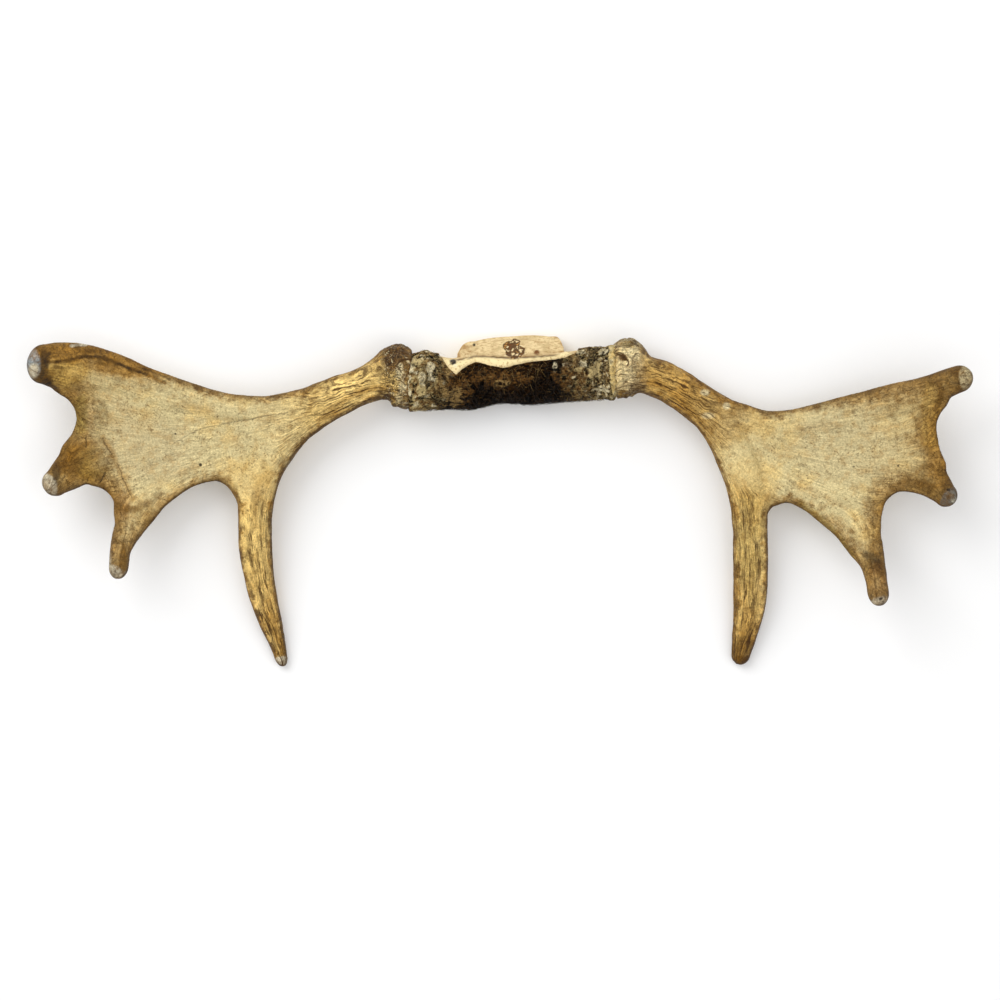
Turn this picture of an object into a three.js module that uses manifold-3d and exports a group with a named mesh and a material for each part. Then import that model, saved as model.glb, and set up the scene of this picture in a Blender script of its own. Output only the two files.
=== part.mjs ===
// A young moose's rack: two palmate antlers on the sawn plate of the skull, with dried hide left on its front.
// It lies on the flat sawn underside of the plate and on the two brow tines, with the cupped side of the palms up.
// Millimetres, +Z up. The origin is the centre of the sawn underside. +X runs from palm to palm, and the brow
// tines point along -Y, as the animal's nose would.

import * as THREE from "three";
import { LoftGeometry } from "three/addons/geometries/LoftGeometry.js";
import { mergeVertices } from "three/addons/utils/BufferGeometryUtils.js";
import Module from "manifold-3d";

const GAP = 0.3; // clearance between pieces that meet
const BEAM_SIDES = 18; // sides of a beam's section
const LIMB_SIDES = 14; // sides of a brow tine's section
const POINT_SIDES = 12; // sides of a palm's point
const EDGE_POINTS = 68; // points round a palm's edge
const RIM_TURNS = [0, 0.5, 1]; // rings round the palm's rim, as shares of a quarter turn
const FACE_SHARES = [0.25, 0.6, 1]; // rings over the palm's face, as shares of the way to its centre
const BODY_STEPS = 12; // sections along a limb, before its tip
const TIP_STEPS = 3; // sections that round a tip off

// The palms are dished: level near the beam, rising outwards from startX, and rising towards the front and the
// back. That sideways rise fades in between sideStartX and sideFullX, so the palm's root lies level with the tine.
const DISH = {
  floor: 37,
  startX: 290,
  outwardRun: 170,
  outwardRise: 36,
  midY: -60,
  sideRun: 130,
  sideRise: 30,
  sideStartX: 245,
  sideFullX: 335,
};

// The beams and the brow tines are lists of [x, y, z, half width across, half thickness] from the root out.
// The points of the palm leave z out, because they lie in the dish. tip is the length that rounds the end off.
const LEFT = {
  beam: {
    tip: 20,
    stations: [
      [-74, -5, 33, 27, 25],
      [-90, -5.5, 33, 29, 26],
      [-98, -2, 33.5, 30.5, 28],
      [-106, 0, 34, 31, 27],
      [-113, -0.5, 34.5, 27.5, 24],
      [-119, -3, 35, 23, 21],
      [-127, -6.5, 35.5, 20, 19.5],
      [-141, -12.2, 37, 18.6, 18],
      [-160, -20, 38.5, 20.3, 17.5],
      [-182, -29.7, 39.5, 23, 16],
      [-205, -43, 39, 25, 13.5],
      [-232, -55, 37.5, 28, 10.5],
      [-262, -64, 37, 26, 7],
    ],
  },
  browTine: {
    tip: 11,
    stations: [
      [-165, -25, 38.5, 16, 14],
      [-199, -45, 39.5, 19, 14.5],
      [-219, -65.5, 40, 20, 14.5],
      [-234, -88.5, 39.5, 20, 14.5],
      [-243, -114, 37.5, 19.6, 14.5],
      [-245.2, -135, 34.5, 18, 14],
      [-245.4, -157, 31, 17, 13.5],
      [-244.8, -177, 27.3, 16.5, 13],
      [-242.2, -202, 22.5, 15.4, 12.5],
      [-236.8, -227, 17.4, 13.8, 11.5],
      [-229.8, -252, 12.3, 11.3, 10],
      [-223.8, -271, 8, 8.4, 8.1],
      [-220.8, -282, 6.8, 7.2, 6.8],
    ],
  },
  topPoint: {
    tip: 16,
    stations: [
      [-178, -27, 13, 11],
      [-205, -33, 14, 11],
      [-238, -36, 15, 10],
      [-274, -33, 15.5, 9],
      [-313, -24, 17, 8.5],
      [-352, -11.5, 18.5, 8.5],
      [-390, 3, 20, 9],
      [-420, 7.5, 23.5, 10],
      [-442, 8.5, 23, 11.5],
      [-454, 10, 19.8, 12],
    ],
  },
  middlePoint: {
    tip: 14,
    stations: [
      [-345, -66, 14, 3.5],
      [-375, -73, 19, 5.5],
      [-400, -81, 22.5, 7.5],
      [-420, -90, 21.5, 9],
      [-434, -101, 17.5, 10.3],
      [-442, -107.5, 14.2, 10.5],
    ],
  },
  lowerPoint: {
    tip: 14,
    stations: [
      [-322, -92, 14, 3.5],
      [-343, -112, 19, 5.5],
      [-359, -132, 19.5, 7.5],
      [-370.3, -154, 14.8, 9],
      [-377.5, -174, 11, 9.5],
      [-379, -190, 9.8, 9],
    ],
  },
  // The edge of the palm between its points, as [x, y].
  palm: {
    centre: [-325, -56],
    halfThickness: 5.5,
    rim: 4.5,
    edge: [
      [-195, -23],
      [-235, -22.5],
      [-275, -19],
      [-310, -10],
      [-349, 4],
      [-388, 18],
      [-418, 17],
      [-447, 0],
      [-447, -13],
      [-440, -19],
      [-431, -24.5],
      [-424.5, -34],
      [-422.5, -45],
      [-425.5, -57],
      [-437, -74],
      [-440, -92],
      [-425, -103.5],
      [-411, -108],
      [-396, -115],
      [-387, -124],
      [-385, -140],
      [-380, -158],
      [-362, -158],
      [-341.5, -138],
      [-323.5, -123],
      [-305, -111],
      [-293, -107.5],
      [-280, -106.5],
      [-271, -110],
      [-265.5, -119],
      [-262, -135],
      [-244, -118],
      [-230, -90],
      [-205, -50],
    ],
  },
  fork: { from: [-235, -19], to: [-272, -116] }, // line across the plan where the palm leaves the beam
  browRootY: -116, // where the brow tine leaves the fork
  pedicleX: -88, // where the antler meets the skull
};

const RIGHT = {
  beam: {
    tip: 20,
    stations: [
      [98, 1.5, 34, 26, 24],
      [113, 2.5, 34, 27, 25],
      [124, 5.5, 34.5, 30, 27],
      [131, 6.7, 35, 30, 27],
      [137, 4.5, 35.3, 26, 24],
      [145, 1, 36, 21.5, 20.5],
      [159, -3.8, 37, 20, 18.5],
      [179, -14.2, 38.5, 19.6, 17.5],
      [199, -28, 39.5, 20.2, 16],
      [220, -43, 39, 22, 13.5],
      [245, -56, 37.5, 26, 10.5],
      [276, -64, 37, 25, 7],
    ],
  },
  browTine: {
    tip: 11,
    stations: [
      [180, -14, 38.5, 15, 14],
      [209, -36, 39.5, 20, 14.5],
      [226.5, -59.5, 40, 20.5, 14.5],
      [236.5, -82, 39.5, 20.3, 14.5],
      [245, -107, 37.8, 20, 14.5],
      [249.6, -132, 35, 18.8, 14],
      [250.6, -152, 31.8, 17.8, 13.5],
      [251.2, -174, 28, 17.6, 13.2],
      [251.8, -197, 23.5, 17.8, 12.8],
      [251.3, -222, 18.4, 17, 12],
      [248.9, -247, 13.2, 14.8, 10.6],
      [245, -268, 8.9, 12, 9],
      [242.6, -280, 7.5, 9.6, 7.6],
    ],
  },
  topPoint: {
    tip: 15,
    stations: [
      [190, -26, 12, 11],
      [215, -34.5, 14, 11],
      [247, -46.5, 14.5, 10],
      [280, -51.5, 15.8, 9],
      [314, -46.7, 17, 8.5],
      [348, -38, 18, 8.5],
      [383, -29.5, 18.2, 9],
      [412, -21.5, 16.8, 9.5],
      [431, -14.5, 15.2, 10.6],
      [445, -9, 14.3, 11],
      [456, -5, 13.6, 11],
    ],
  },
  middlePoint: {
    tip: 12,
    stations: [
      [360, -79, 14, 3.5],
      [390, -87, 19, 5.5],
      [413, -95, 22, 7.5],
      [428, -104.5, 18.8, 9],
      [438, -114.5, 14.2, 10],
      [443, -120, 12, 10],
    ],
  },
  lowerPoint: {
    tip: 14,
    stations: [
      [317, -103, 14, 3.5],
      [337, -126, 19, 5.5],
      [353, -148, 21, 7.5],
      [363.3, -170, 18.3, 9],
      [370.3, -189.5, 12.6, 10],
      [373.3, -205, 11.2, 9.5],
      [374.7, -217, 10.5, 9],
    ],
  },
  palm: {
    centre: [325, -64],
    halfThickness: 5.5,
    rim: 4.5,
    edge: [
      [209, -32],
      [240, -33],
      [268, -36],
      [300, -34],
      [334, -26],
      [369, -18],
      [402, -13],
      [431, -13],
      [449, -17],
      [438.5, -30],
      [436, -46],
      [436, -62],
      [438, -74],
      [444, -92],
      [441, -109],
      [427, -119],
      [412, -117.5],
      [397, -117],
      [386, -125.5],
      [381, -140],
      [379.5, -158],
      [380, -178],
      [370, -190],
      [352, -182],
      [336, -163],
      [318, -146.5],
      [300, -133],
      [285, -128.5],
      [276, -131.5],
      [270, -140],
      [267, -153],
      [252, -140],
      [237, -105],
      [215, -56],
    ],
  },
  fork: { from: [243, -28], to: [277, -140] },
  browRootY: -138,
  pedicleX: 112,
};

// The skull plate runs along X from pedicle to pedicle, as [x, y, z, half depth, half height]. The part of it
// below z = 0 is sawn off.
const SKULL = {
  saddle: [
    [-100, -4, 33, 27, 24],
    [-88, -4.5, 32, 27, 25],
    [-70, -4.5, 30, 27.5, 26],
    [-50, -7, 26, 24.5, 26],
    [-26, -5, 22.5, 25, 26.5],
    [0, -2, 21, 25, 26],
    [30, -2, 21.5, 25, 26],
    [62, -0.5, 24, 24, 27],
    [88, 1.7, 30, 24.7, 26],
    [112, 3.7, 34, 25.3, 25],
    [124, 4.2, 34, 25, 24],
  ],
  // The thick middle of the plate, behind the crest.
  block: [
    [-43, 12, 14, 10, 11],
    [-39, 15, 14, 14, 16],
    [-22, 17.5, 15, 18, 22],
    [10, 19.7, 15, 20, 24],
    [48, 19.7, 15, 20, 23],
    [60, 18.5, 14, 18.5, 19.5],
    [64, 15, 14, 13.5, 13],
  ],
  squareness: 3.2, // how square the block's section is: 2 is an ellipse
  // The slanting saw cut across the block, behind the crest: a point on it and how steeply it drops.
  cut: { y: 13, z: 37, dropDegrees: 42 },
};
const SKULL_STEPS = 18;
const SKULL_SIDES = 20;

// Dried hide over the front and the crest of the plate.
const HIDE = { thickness: 3.2, backY: 13, lowestZ: 2.5 };

// The burr's pearls are two waves round the beam, as shares of its half size, that fade out along the beam.
const BURR = { fromSkull: 9, fade: 9, pearls: 9, height: 0.07, slowPearls: 5, slowHeight: 0.035 };

const FINISHES = {
  antler: { color: 0xb89b63, roughness: 0.65 },
  palm: { color: 0xc3ae7c, roughness: 0.6 },
  skull: { color: 0xe2cf9a, roughness: 0.75 },
  hide: { color: 0x2c2013, roughness: 0.9 },
};

const wasm = await Module();
wasm.setup();

// A closed BufferGeometry as a solid to join and cut, without the triangles that its poles collapse.
function solidOf(geometry) {
  const bare = new THREE.BufferGeometry().copy(geometry);
  bare.deleteAttribute("normal");
  bare.deleteAttribute("uv");
  const merged = mergeVertices(bare, 1e-3);
  const corners = merged.index.array;
  const triangles = [];
  for (let i = 0; i < corners.length; i += 3) {
    const [a, b, c] = corners.slice(i, i + 3);
    if (a !== b && b !== c && c !== a) triangles.push(a, b, c);
  }
  return new wasm.Manifold(
    new wasm.Mesh({
      numProp: 3,
      vertProperties: merged.attributes.position.array,
      triVerts: new Uint32Array(triangles),
    }),
  );
}

// A manifold-3d solid as a BufferGeometry.
function geometryOf(solid) {
  const mesh = solid.getMesh();
  const geometry = new THREE.BufferGeometry();
  geometry.setAttribute("position", new THREE.BufferAttribute(mesh.vertProperties, 3));
  geometry.setIndex(new THREE.BufferAttribute(mesh.triVerts, 1));
  const flat = geometry.toNonIndexed();
  flat.computeVertexNormals();
  return flat;
}

const signedPower = (value, power) => Math.sign(value) * Math.abs(value) ** power;

// The height of the middle of the palm's thickness over a place in the plan.
function dishHeight(x, y) {
  const outward = Math.max(0, Math.abs(x) - DISH.startX) / DISH.outwardRun;
  const sideways = (y - DISH.midY) / DISH.sideRun;
  const sideRise = DISH.sideRise * THREE.MathUtils.smoothstep(Math.abs(x), DISH.sideStartX, DISH.sideFullX);
  return DISH.floor + DISH.outwardRise * outward ** 2 + sideRise * sideways ** 2;
}

// Sections across a smooth path through the stations. relief(angle, x) scales a section's two half sizes,
// and squareness above 2 fills the section's corners out.
function sectionsOf(stations, { sides, steps, tip = 0, squareness = 2, relief = () => 1 }) {
  const path = new THREE.CatmullRomCurve3(stations.map(([x, y, z]) => new THREE.Vector3(x, y, z)));
  const sizes = new THREE.CatmullRomCurve3(stations.map(([, , , w, t]) => new THREE.Vector3(w, t, 0)));
  const places = [];
  for (let i = 0; i <= steps; i++) places.push({ at: i / steps, scale: 1, beyond: 0 });
  for (let i = 1; tip > 0 && i <= TIP_STEPS; i++) {
    const turn = (Math.PI / 2) * (i / TIP_STEPS);
    places.push({ at: 1, scale: Math.cos(turn), beyond: tip * Math.sin(turn) });
  }
  const up = new THREE.Vector3(0, 0, 1);
  return places.map(({ at, scale, beyond }) => {
    const along = path.getTangent(at);
    const side = new THREE.Vector3().crossVectors(up, along).normalize();
    const over = new THREE.Vector3().crossVectors(along, side);
    const centre = path.getPoint(at).addScaledVector(along, beyond);
    const size = sizes.getPoint(at);
    const section = [];
    for (let j = 0; j < sides; j++) {
      const angle = (2 * Math.PI * j) / sides;
      const swell = scale * relief(angle, centre.x);
      const across = size.x * swell * signedPower(Math.cos(angle), 2 / squareness);
      const height = size.y * swell * signedPower(Math.sin(angle), 2 / squareness);
      section.push(centre.clone().addScaledVector(side, across).addScaledVector(over, height));
    }
    return section;
  });
}

const loft = (sections, capStart, capEnd) => solidOf(new LoftGeometry(sections, { capStart, capEnd }));

// The pearls of the burr: waves round the section that fade away from the burr's middle.
function burrRelief(burrX) {
  return (angle, x) => {
    const fade = Math.exp(-(((x - burrX) / BURR.fade) ** 2));
    const pearls = BURR.height * Math.cos(BURR.pearls * angle);
    const slowPearls = BURR.slowHeight * Math.cos(BURR.slowPearls * angle + 1);
    return 1 + fade * (pearls + slowPearls);
  };
}

function makePoint({ stations, tip }) {
  const inDish = stations.map(([x, y, w, t]) => [x, y, dishHeight(x, y), w, t]);
  return makeLimb({ stations: inDish, tip }, POINT_SIDES);
}

function makeLimb({ stations, tip }, sides, relief) {
  return loft(sectionsOf(stations, { sides, steps: BODY_STEPS, tip, relief }), true, false);
}

// The palm's plate, from the middle of its lower face out round the rim and back over its upper face. A ring
// is the palm's edge drawn in by inset, then by a share of the way left to the centre.
function makePalmPlate({ centre, halfThickness, rim, edge }) {
  const middle = new THREE.Vector2(...centre);
  const curve = new THREE.CatmullRomCurve3(
    edge.map(([x, y]) => new THREE.Vector3(x, y, 0)),
    true,
  );
  const outline = curve.getSpacedPoints(EDGE_POINTS).slice(1);
  if (THREE.ShapeUtils.isClockWise(outline)) outline.reverse();
  const rimRings = RIM_TURNS.map((turn) => {
    const angle = (Math.PI / 2) * turn;
    return { inset: rim * (1 - Math.cos(angle)), share: 0, half: rim * Math.sin(angle) };
  });
  const faceRings = FACE_SHARES.map((share) => ({ inset: rim, share, half: halfThickness }));
  const upper = [...rimRings, ...faceRings];
  const lower = upper.slice(1).reverse();
  const ringAt = ({ inset, share, half }, face) =>
    outline.map((point) => {
      const inwards = new THREE.Vector2(middle.x - point.x, middle.y - point.y);
      const drawnIn = inset / inwards.length() + share * (1 - inset / inwards.length());
      const x = point.x + inwards.x * drawnIn;
      const y = point.y + inwards.y * drawnIn;
      return new THREE.Vector3(x, y, dishHeight(x, y) + face * half);
    });
  const rings = [...lower.map((ring) => ringAt(ring, -1)), ...upper.map((ring) => ringAt(ring, 1))];
  return loft(rings, false, false);
}

// The half of a solid that lies on the side of the plane the normal points to, half a gap clear of it.
function keepSide(solid, normal, point) {
  const unit = normal.clone().normalize();
  return solid.trimByPlane(unit.toArray(), unit.dot(point) + GAP / 2);
}

// One antler, split at its main fork into beam, palm and brow tine.
function makeAntler(plan) {
  const outwards = Math.sign(plan.pedicleX);
  const burrX = plan.pedicleX + outwards * BURR.fromSkull;
  const whole = makeLimb(plan.beam, BEAM_SIDES, burrRelief(burrX))
    .add(makeLimb(plan.browTine, LIMB_SIDES))
    .add(makePoint(plan.topPoint))
    .add(makePoint(plan.middlePoint))
    .add(makePoint(plan.lowerPoint))
    .add(makePalmPlate(plan.palm));
  const offSkull = keepSide(
    whole,
    new THREE.Vector3(outwards, 0, 0),
    new THREE.Vector3(plan.pedicleX, 0, 0),
  );
  const from = new THREE.Vector3(...plan.fork.from, 0);
  const to = new THREE.Vector3(...plan.fork.to, 0);
  const across = new THREE.Vector3(to.y - from.y, from.x - to.x, 0);
  across.multiplyScalar(Math.sign(across.x) * outwards);
  const inner = keepSide(offSkull, across.clone().negate(), from);
  const browRoot = new THREE.Vector3(0, plan.browRootY, 0);
  return {
    palm: keepSide(offSkull, across, from),
    beam: keepSide(inner, new THREE.Vector3(0, 1, 0), browRoot),
    brow_tine: keepSide(inner, new THREE.Vector3(0, -1, 0), browRoot),
  };
}

function grown(stations, extra) {
  return stations.map(([x, y, z, w, t]) => [x, y, z, w + extra, t + extra]);
}

function makeSaddle(extra) {
  const stations = grown(SKULL.saddle, extra);
  return loft(sectionsOf(stations, { sides: SKULL_SIDES, steps: SKULL_STEPS }), true, true);
}

function makeBlock(extra) {
  const { block, squareness } = SKULL;
  const sections = sectionsOf(grown(block, extra), { sides: SKULL_SIDES, steps: BODY_STEPS, squareness });
  return loft(sections, true, true);
}

function betweenPedicles(solid) {
  const left = new THREE.Vector3(LEFT.pedicleX, 0, 0);
  const right = new THREE.Vector3(RIGHT.pedicleX, 0, 0);
  return keepSide(keepSide(solid, new THREE.Vector3(1, 0, 0), left), new THREE.Vector3(-1, 0, 0), right);
}

// The frontal bone between the pedicles, sawn flat below and on the slant behind the crest.
function makeSkullPlate() {
  const drop = THREE.MathUtils.degToRad(SKULL.cut.dropDegrees);
  const cutNormal = new THREE.Vector3(0, -Math.sin(drop), -Math.cos(drop));
  const cutPoint = new THREE.Vector3(0, SKULL.cut.y, SKULL.cut.z);
  const block = keepSide(makeBlock(0), cutNormal, cutPoint);
  return betweenPedicles(makeSaddle(0).add(block)).trimByPlane([0, 0, 1], 0);
}

// A skin of even thickness over the saddle, cut back behind the crest and kept off the ground.
function makeHide() {
  const skin = makeSaddle(HIDE.thickness + GAP)
    .subtract(makeSaddle(GAP))
    .subtract(makeBlock(GAP));
  const front = keepSide(skin, new THREE.Vector3(0, -1, 0), new THREE.Vector3(0, HIDE.backY, 0));
  const lifted = keepSide(front, new THREE.Vector3(0, 0, 1), new THREE.Vector3(0, 0, HIDE.lowestZ));
  return betweenPedicles(lifted);
}

function mesh(name, solid, finish) {
  const material = new THREE.MeshStandardMaterial({ ...finish, metalness: 0 });
  const made = new THREE.Mesh(geometryOf(solid), material);
  made.name = name;
  return made;
}

const rack = new THREE.Group();
for (const [side, plan] of Object.entries({ left: LEFT, right: RIGHT })) {
  const { beam, palm, brow_tine: browTine } = makeAntler(plan);
  const antler = new THREE.Group();
  antler.add(
    mesh(side + "_beam", beam, FINISHES.antler),
    mesh(side + "_palm", palm, FINISHES.palm),
    mesh(side + "_brow_tine", browTine, FINISHES.antler),
  );
  rack.add(antler);
}
rack.add(
  mesh("skull_plate", makeSkullPlate(), FINISHES.skull),
  mesh("hide", makeHide(), FINISHES.hide),
);

export default rack;
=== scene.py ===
import itertools
import math

import bpy
import numpy as np
from bpy.props import FloatProperty, FloatVectorProperty, IntProperty, PointerProperty
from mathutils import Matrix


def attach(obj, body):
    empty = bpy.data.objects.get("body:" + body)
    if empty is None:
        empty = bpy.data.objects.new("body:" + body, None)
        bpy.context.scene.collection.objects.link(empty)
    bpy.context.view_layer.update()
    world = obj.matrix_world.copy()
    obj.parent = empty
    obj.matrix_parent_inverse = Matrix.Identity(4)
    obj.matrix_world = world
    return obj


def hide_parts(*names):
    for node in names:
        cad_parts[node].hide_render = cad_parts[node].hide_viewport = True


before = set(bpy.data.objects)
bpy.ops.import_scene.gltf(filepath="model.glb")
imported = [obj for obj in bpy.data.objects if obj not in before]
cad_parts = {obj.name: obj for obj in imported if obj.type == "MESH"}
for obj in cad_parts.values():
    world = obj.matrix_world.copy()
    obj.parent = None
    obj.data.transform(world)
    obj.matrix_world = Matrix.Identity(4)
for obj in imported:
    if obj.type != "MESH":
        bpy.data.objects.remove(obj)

bl_info = {
    "name": "Moose Rack",
    "version": (1, 0, 0),
    "blender": (4, 5, 0),
    "location": "3D View > Sidebar > Moose Rack",
    "description": "Builds two palmate antlers, the sawn skull plate between them, its dried hide and hair",
    "category": "Add Mesh",
}

MM = 0.001

# The shape, in millimetres. Beams, brow tines and the web between tine and palm are rows of x, y, z, half
# width and half thickness, from the skull outwards. A palm's points leave z out: they lie in the palm's dish.
DISH = dict(
    floor=37, start_x=290, outward_run=170, outward_rise=36, mid_y=-60, side_run=130, side_rise=30,
    side_start_x=245, side_full_x=335,
)
# In each plan, burr_from is where along Y the rough knob begins, fork is the spot (x, y, radius) where the
# growth lines part, and fork_row is the first row of the beam that its outer limbs leave out.

LEFT = dict(
    pedicle_x=-88.15, burr_x=-106, fork_row=9, fork=(-249, -95, 34),
    burr_shade="umber", burr_cracks=1.0, burr_from=(-6, 6), crust_reach=14, crust_shade="hide_warm",
    beam=[
        (-74, -5, 33, 27, 25), (-90, -7.5, 33, 26.5, 26), (-98, -2, 33.5, 30.5, 28), (-106, 0, 34, 31, 27),
        (-113, -0.5, 34.5, 27.5, 24), (-119, -3, 35, 23, 21), (-127, -6.5, 35.5, 20, 19.5),
        (-141, -12.2, 37, 18.6, 18), (-160, -20, 38.5, 20.3, 17.5), (-182, -30.2, 39.5, 22, 16),
        (-205, -43, 39, 25, 13.5), (-232, -55, 37.5, 28, 10.5), (-262, -64, 37, 26, 7),
    ],
    brow_tine=[
        (-165, -25, 38.5, 16, 14), (-199, -45, 39.5, 19, 14.5), (-219, -65.5, 40, 20, 14.5),
        (-234, -88.5, 39.5, 20, 14.5), (-243, -114, 37.5, 19.6, 14.5), (-245.2, -135, 34.5, 18, 14),
        (-245.4, -157, 31, 17, 13.5), (-244.8, -177, 27.3, 16.5, 13), (-242.2, -202, 22.5, 15.4, 12.5),
        (-236.8, -227, 17.4, 13.8, 11.5), (-229.8, -252, 12.3, 11.3, 10), (-223.8, -271, 8, 8.4, 8.1),
        (-220.8, -282, 6.8, 7.2, 6.8),
    ],
    brow_tip=11,
    points=dict(
        top=dict(
            tip=16,
            rows=[
                (-178, -21, 13, 11), (-205, -29, 14, 11), (-238, -36, 15, 10), (-274, -33, 15.5, 9),
                (-313, -24, 17, 8.5), (-352, -11.5, 18.5, 8.5), (-390, 3, 20, 9), (-420, 7.5, 23.5, 10),
                (-442, 8.5, 23, 11.5), (-454, 10, 19.8, 12),
            ],
        ),
        middle=dict(
            tip=14,
            rows=[
                (-345, -66, 14, 3.5), (-375, -73, 19, 5.5), (-400, -81, 22.5, 7.5), (-420, -90, 21.5, 9),
                (-434, -101, 17.5, 10.3), (-442, -107.5, 14.2, 10.5),
            ],
        ),
        lower=dict(
            tip=14,
            rows=[
                (-322, -92, 14, 3.5), (-343, -112, 19, 5.5), (-359, -132, 19.5, 7.5),
                (-370.3, -154, 14.8, 9), (-377.5, -174, 11, 9.5), (-379, -190, 9.8, 9),
            ],
        ),
    ),
    palm_centre=(-325, -56),
    palm_edge=[
        (-195, -23), (-235, -22.5), (-275, -19), (-310, -10), (-349, 4), (-388, 18), (-418, 17), (-447, 0),
        (-447, -13), (-440, -19), (-431, -24.5), (-424.5, -34), (-422.5, -45), (-425.5, -57), (-437, -74),
        (-440, -92), (-425, -103.5), (-412, -109.5), (-396, -115), (-387, -124), (-385, -140), (-380, -158),
        (-362, -158), (-341.5, -138), (-323.5, -123), (-305, -111), (-293, -107.5), (-280, -106.5),
        (-271, -110), (-262, -113), (-252, -117), (-243, -110), (-230, -90), (-205, -50),
    ],
    web=[
        (-290, -95, 37.5, 10, 5), (-276, -98.5, 37, 10, 6), (-266, -105, 36.5, 10, 8),
        (-258.7, -114.4, 36, 10, 10), (-253.4, -127.5, 35, 10, 11.5), (-249.4, -152, 31.5, 9, 12),
    ],
)

RIGHT = dict(
    pedicle_x=112.15, burr_x=130, fork_row=13, fork=(252, -84, 36),
    burr_shade="cream", burr_cracks=0.55, burr_from=(-60, -50), crust_reach=5, crust_shade="cream",
    beam=[
        (98, 0.5, 34, 25, 24), (113, 0.8, 34, 24.6, 25), (118.5, 2.2, 34.2, 25.4, 25.3),
        (121.5, 5.3, 34.4, 28.2, 26.5), (125, 7.2, 34.5, 29, 27), (131, 8.2, 35, 28.2, 27),
        (135, 6.4, 35.2, 26.8, 26), (138.5, 3, 35.5, 24.6, 24), (142, 0, 35.8, 21.6, 22),
        (146, -0.2, 36, 19.9, 20), (159, -3.6, 37, 19.6, 18.5), (179, -14.2, 38.5, 19.6, 17.5),
        (199, -28, 39.5, 20.2, 16), (220, -43, 39, 22, 13.5), (245, -56, 37.5, 26, 10.5),
        (276, -64, 37, 25, 7),
    ],
    brow_tine=[
        (180, -14, 38.5, 15, 14), (209, -36, 39.5, 20, 14.5), (226.5, -59.5, 40, 20.5, 14.5),
        (236.5, -82, 39.5, 20.3, 14.5), (245, -107, 37.8, 20, 14.5), (249.6, -132, 35, 18.8, 14),
        (250.6, -152, 31.8, 17.8, 13.5), (251.2, -174, 28, 17.6, 13.2), (251.8, -197, 23.5, 17.8, 12.8),
        (251.3, -222, 18.4, 17, 12), (248.9, -247, 13.2, 14.8, 10.6), (245, -268, 8.9, 12, 9),
        (242.6, -280, 7.5, 9.6, 7.6),
    ],
    brow_tip=11,
    points=dict(
        top=dict(
            tip=15,
            rows=[
                (190, -26, 12, 11), (215, -34.5, 14, 11), (247, -46.5, 14.5, 10), (280, -51.5, 15.8, 9),
                (314, -46.7, 17, 8.5), (348, -38, 18, 8.5), (383, -29.5, 18.2, 9), (412, -21.5, 16.8, 9.5),
                (431, -14.5, 15.2, 10.6), (445, -9, 14.3, 11), (456, -5, 13.6, 11),
            ],
        ),
        middle=dict(
            tip=12,
            rows=[
                (360, -79, 14, 3.5), (390, -87, 19, 5.5), (413, -95, 22, 7.5), (428, -104.5, 18.8, 9),
                (438, -114.5, 14.2, 10), (443, -120, 12, 10),
            ],
        ),
        lower=dict(
            tip=14,
            rows=[
                (317, -103, 14, 3.5), (337, -126, 19, 5.5), (353, -148, 21, 7.5), (363.3, -170, 18.3, 9),
                (370.3, -189.5, 12.6, 10), (373.3, -205, 11.2, 9.5), (374.7, -217, 10.5, 9),
            ],
        ),
    ),
    palm_centre=(325, -64),
    palm_edge=[
        (209, -32), (240, -33), (268, -36), (300, -34), (334, -26), (369, -18), (402, -13), (431, -13),
        (449, -17), (445, -30), (439, -38.5), (436, -46), (436, -62), (438, -74), (444, -92), (441, -109),
        (427, -119), (412, -117.5), (397, -117), (386, -125.5), (381, -140), (379.5, -158), (380, -178),
        (370, -190), (352, -182), (336, -163), (318, -146.5), (300, -133), (285, -128.5), (276, -131.5),
        (268, -133), (258, -136), (248, -128), (237, -105), (215, -56),
    ],
    web=[
        (302, -121.5, 38, 9, 5), (285, -117, 37.5, 9.5, 6), (272, -121.6, 37, 9, 7.5),
        (263.4, -130, 36, 9, 10), (259, -138, 35, 9, 11), (258.5, -152, 32, 9, 12),
    ],
)

PALM_HALF_THICKNESS = 5.5
PALM_RIM = 4.5
# Rounds of evening out an antler's fused skin, which melts its limbs into one another, and the skull's.
ANTLER_ROUNDS = 90
SKULL_ROUNDS = 4
SKULL_GRAIN = 1.0

# The skull plate in upright sections: x, y, z, half depth, half height.
SADDLE = [
    (-100, -7.5, 33, 25, 24), (-88, -7.5, 32, 25, 25), (-77, -5, 31, 28, 26), (-66, -5.8, 29, 26.8, 26),
    (-50, -7, 26, 24.5, 26), (-30, -6, 23, 26, 26.5), (0, -1.4, 21, 24.4, 26), (30, -2, 21.5, 25, 26),
    (62, -0.5, 24, 24, 27), (88, 1.7, 30, 24.7, 26), (112, 2.5, 34, 24.3, 25), (124, 3, 34, 23.9, 24),
]
BLOCK = [
    (-43, 12, 14, 10, 11), (-39, 15, 14, 14, 16), (-22, 17.5, 15, 18, 22), (10, 19.7, 15, 20, 24),
    (48, 19.7, 15, 20, 23), (60, 18.5, 14, 18.5, 19.5), (64, 15, 14, 13.5, 13),
]
BLOCK_SQUARENESS = 3.2
SAW_CUT = dict(y=13, z=37, drop=math.tan(math.radians(42)))
SKULL_ENDS = (-87.85, 111.85)

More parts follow.
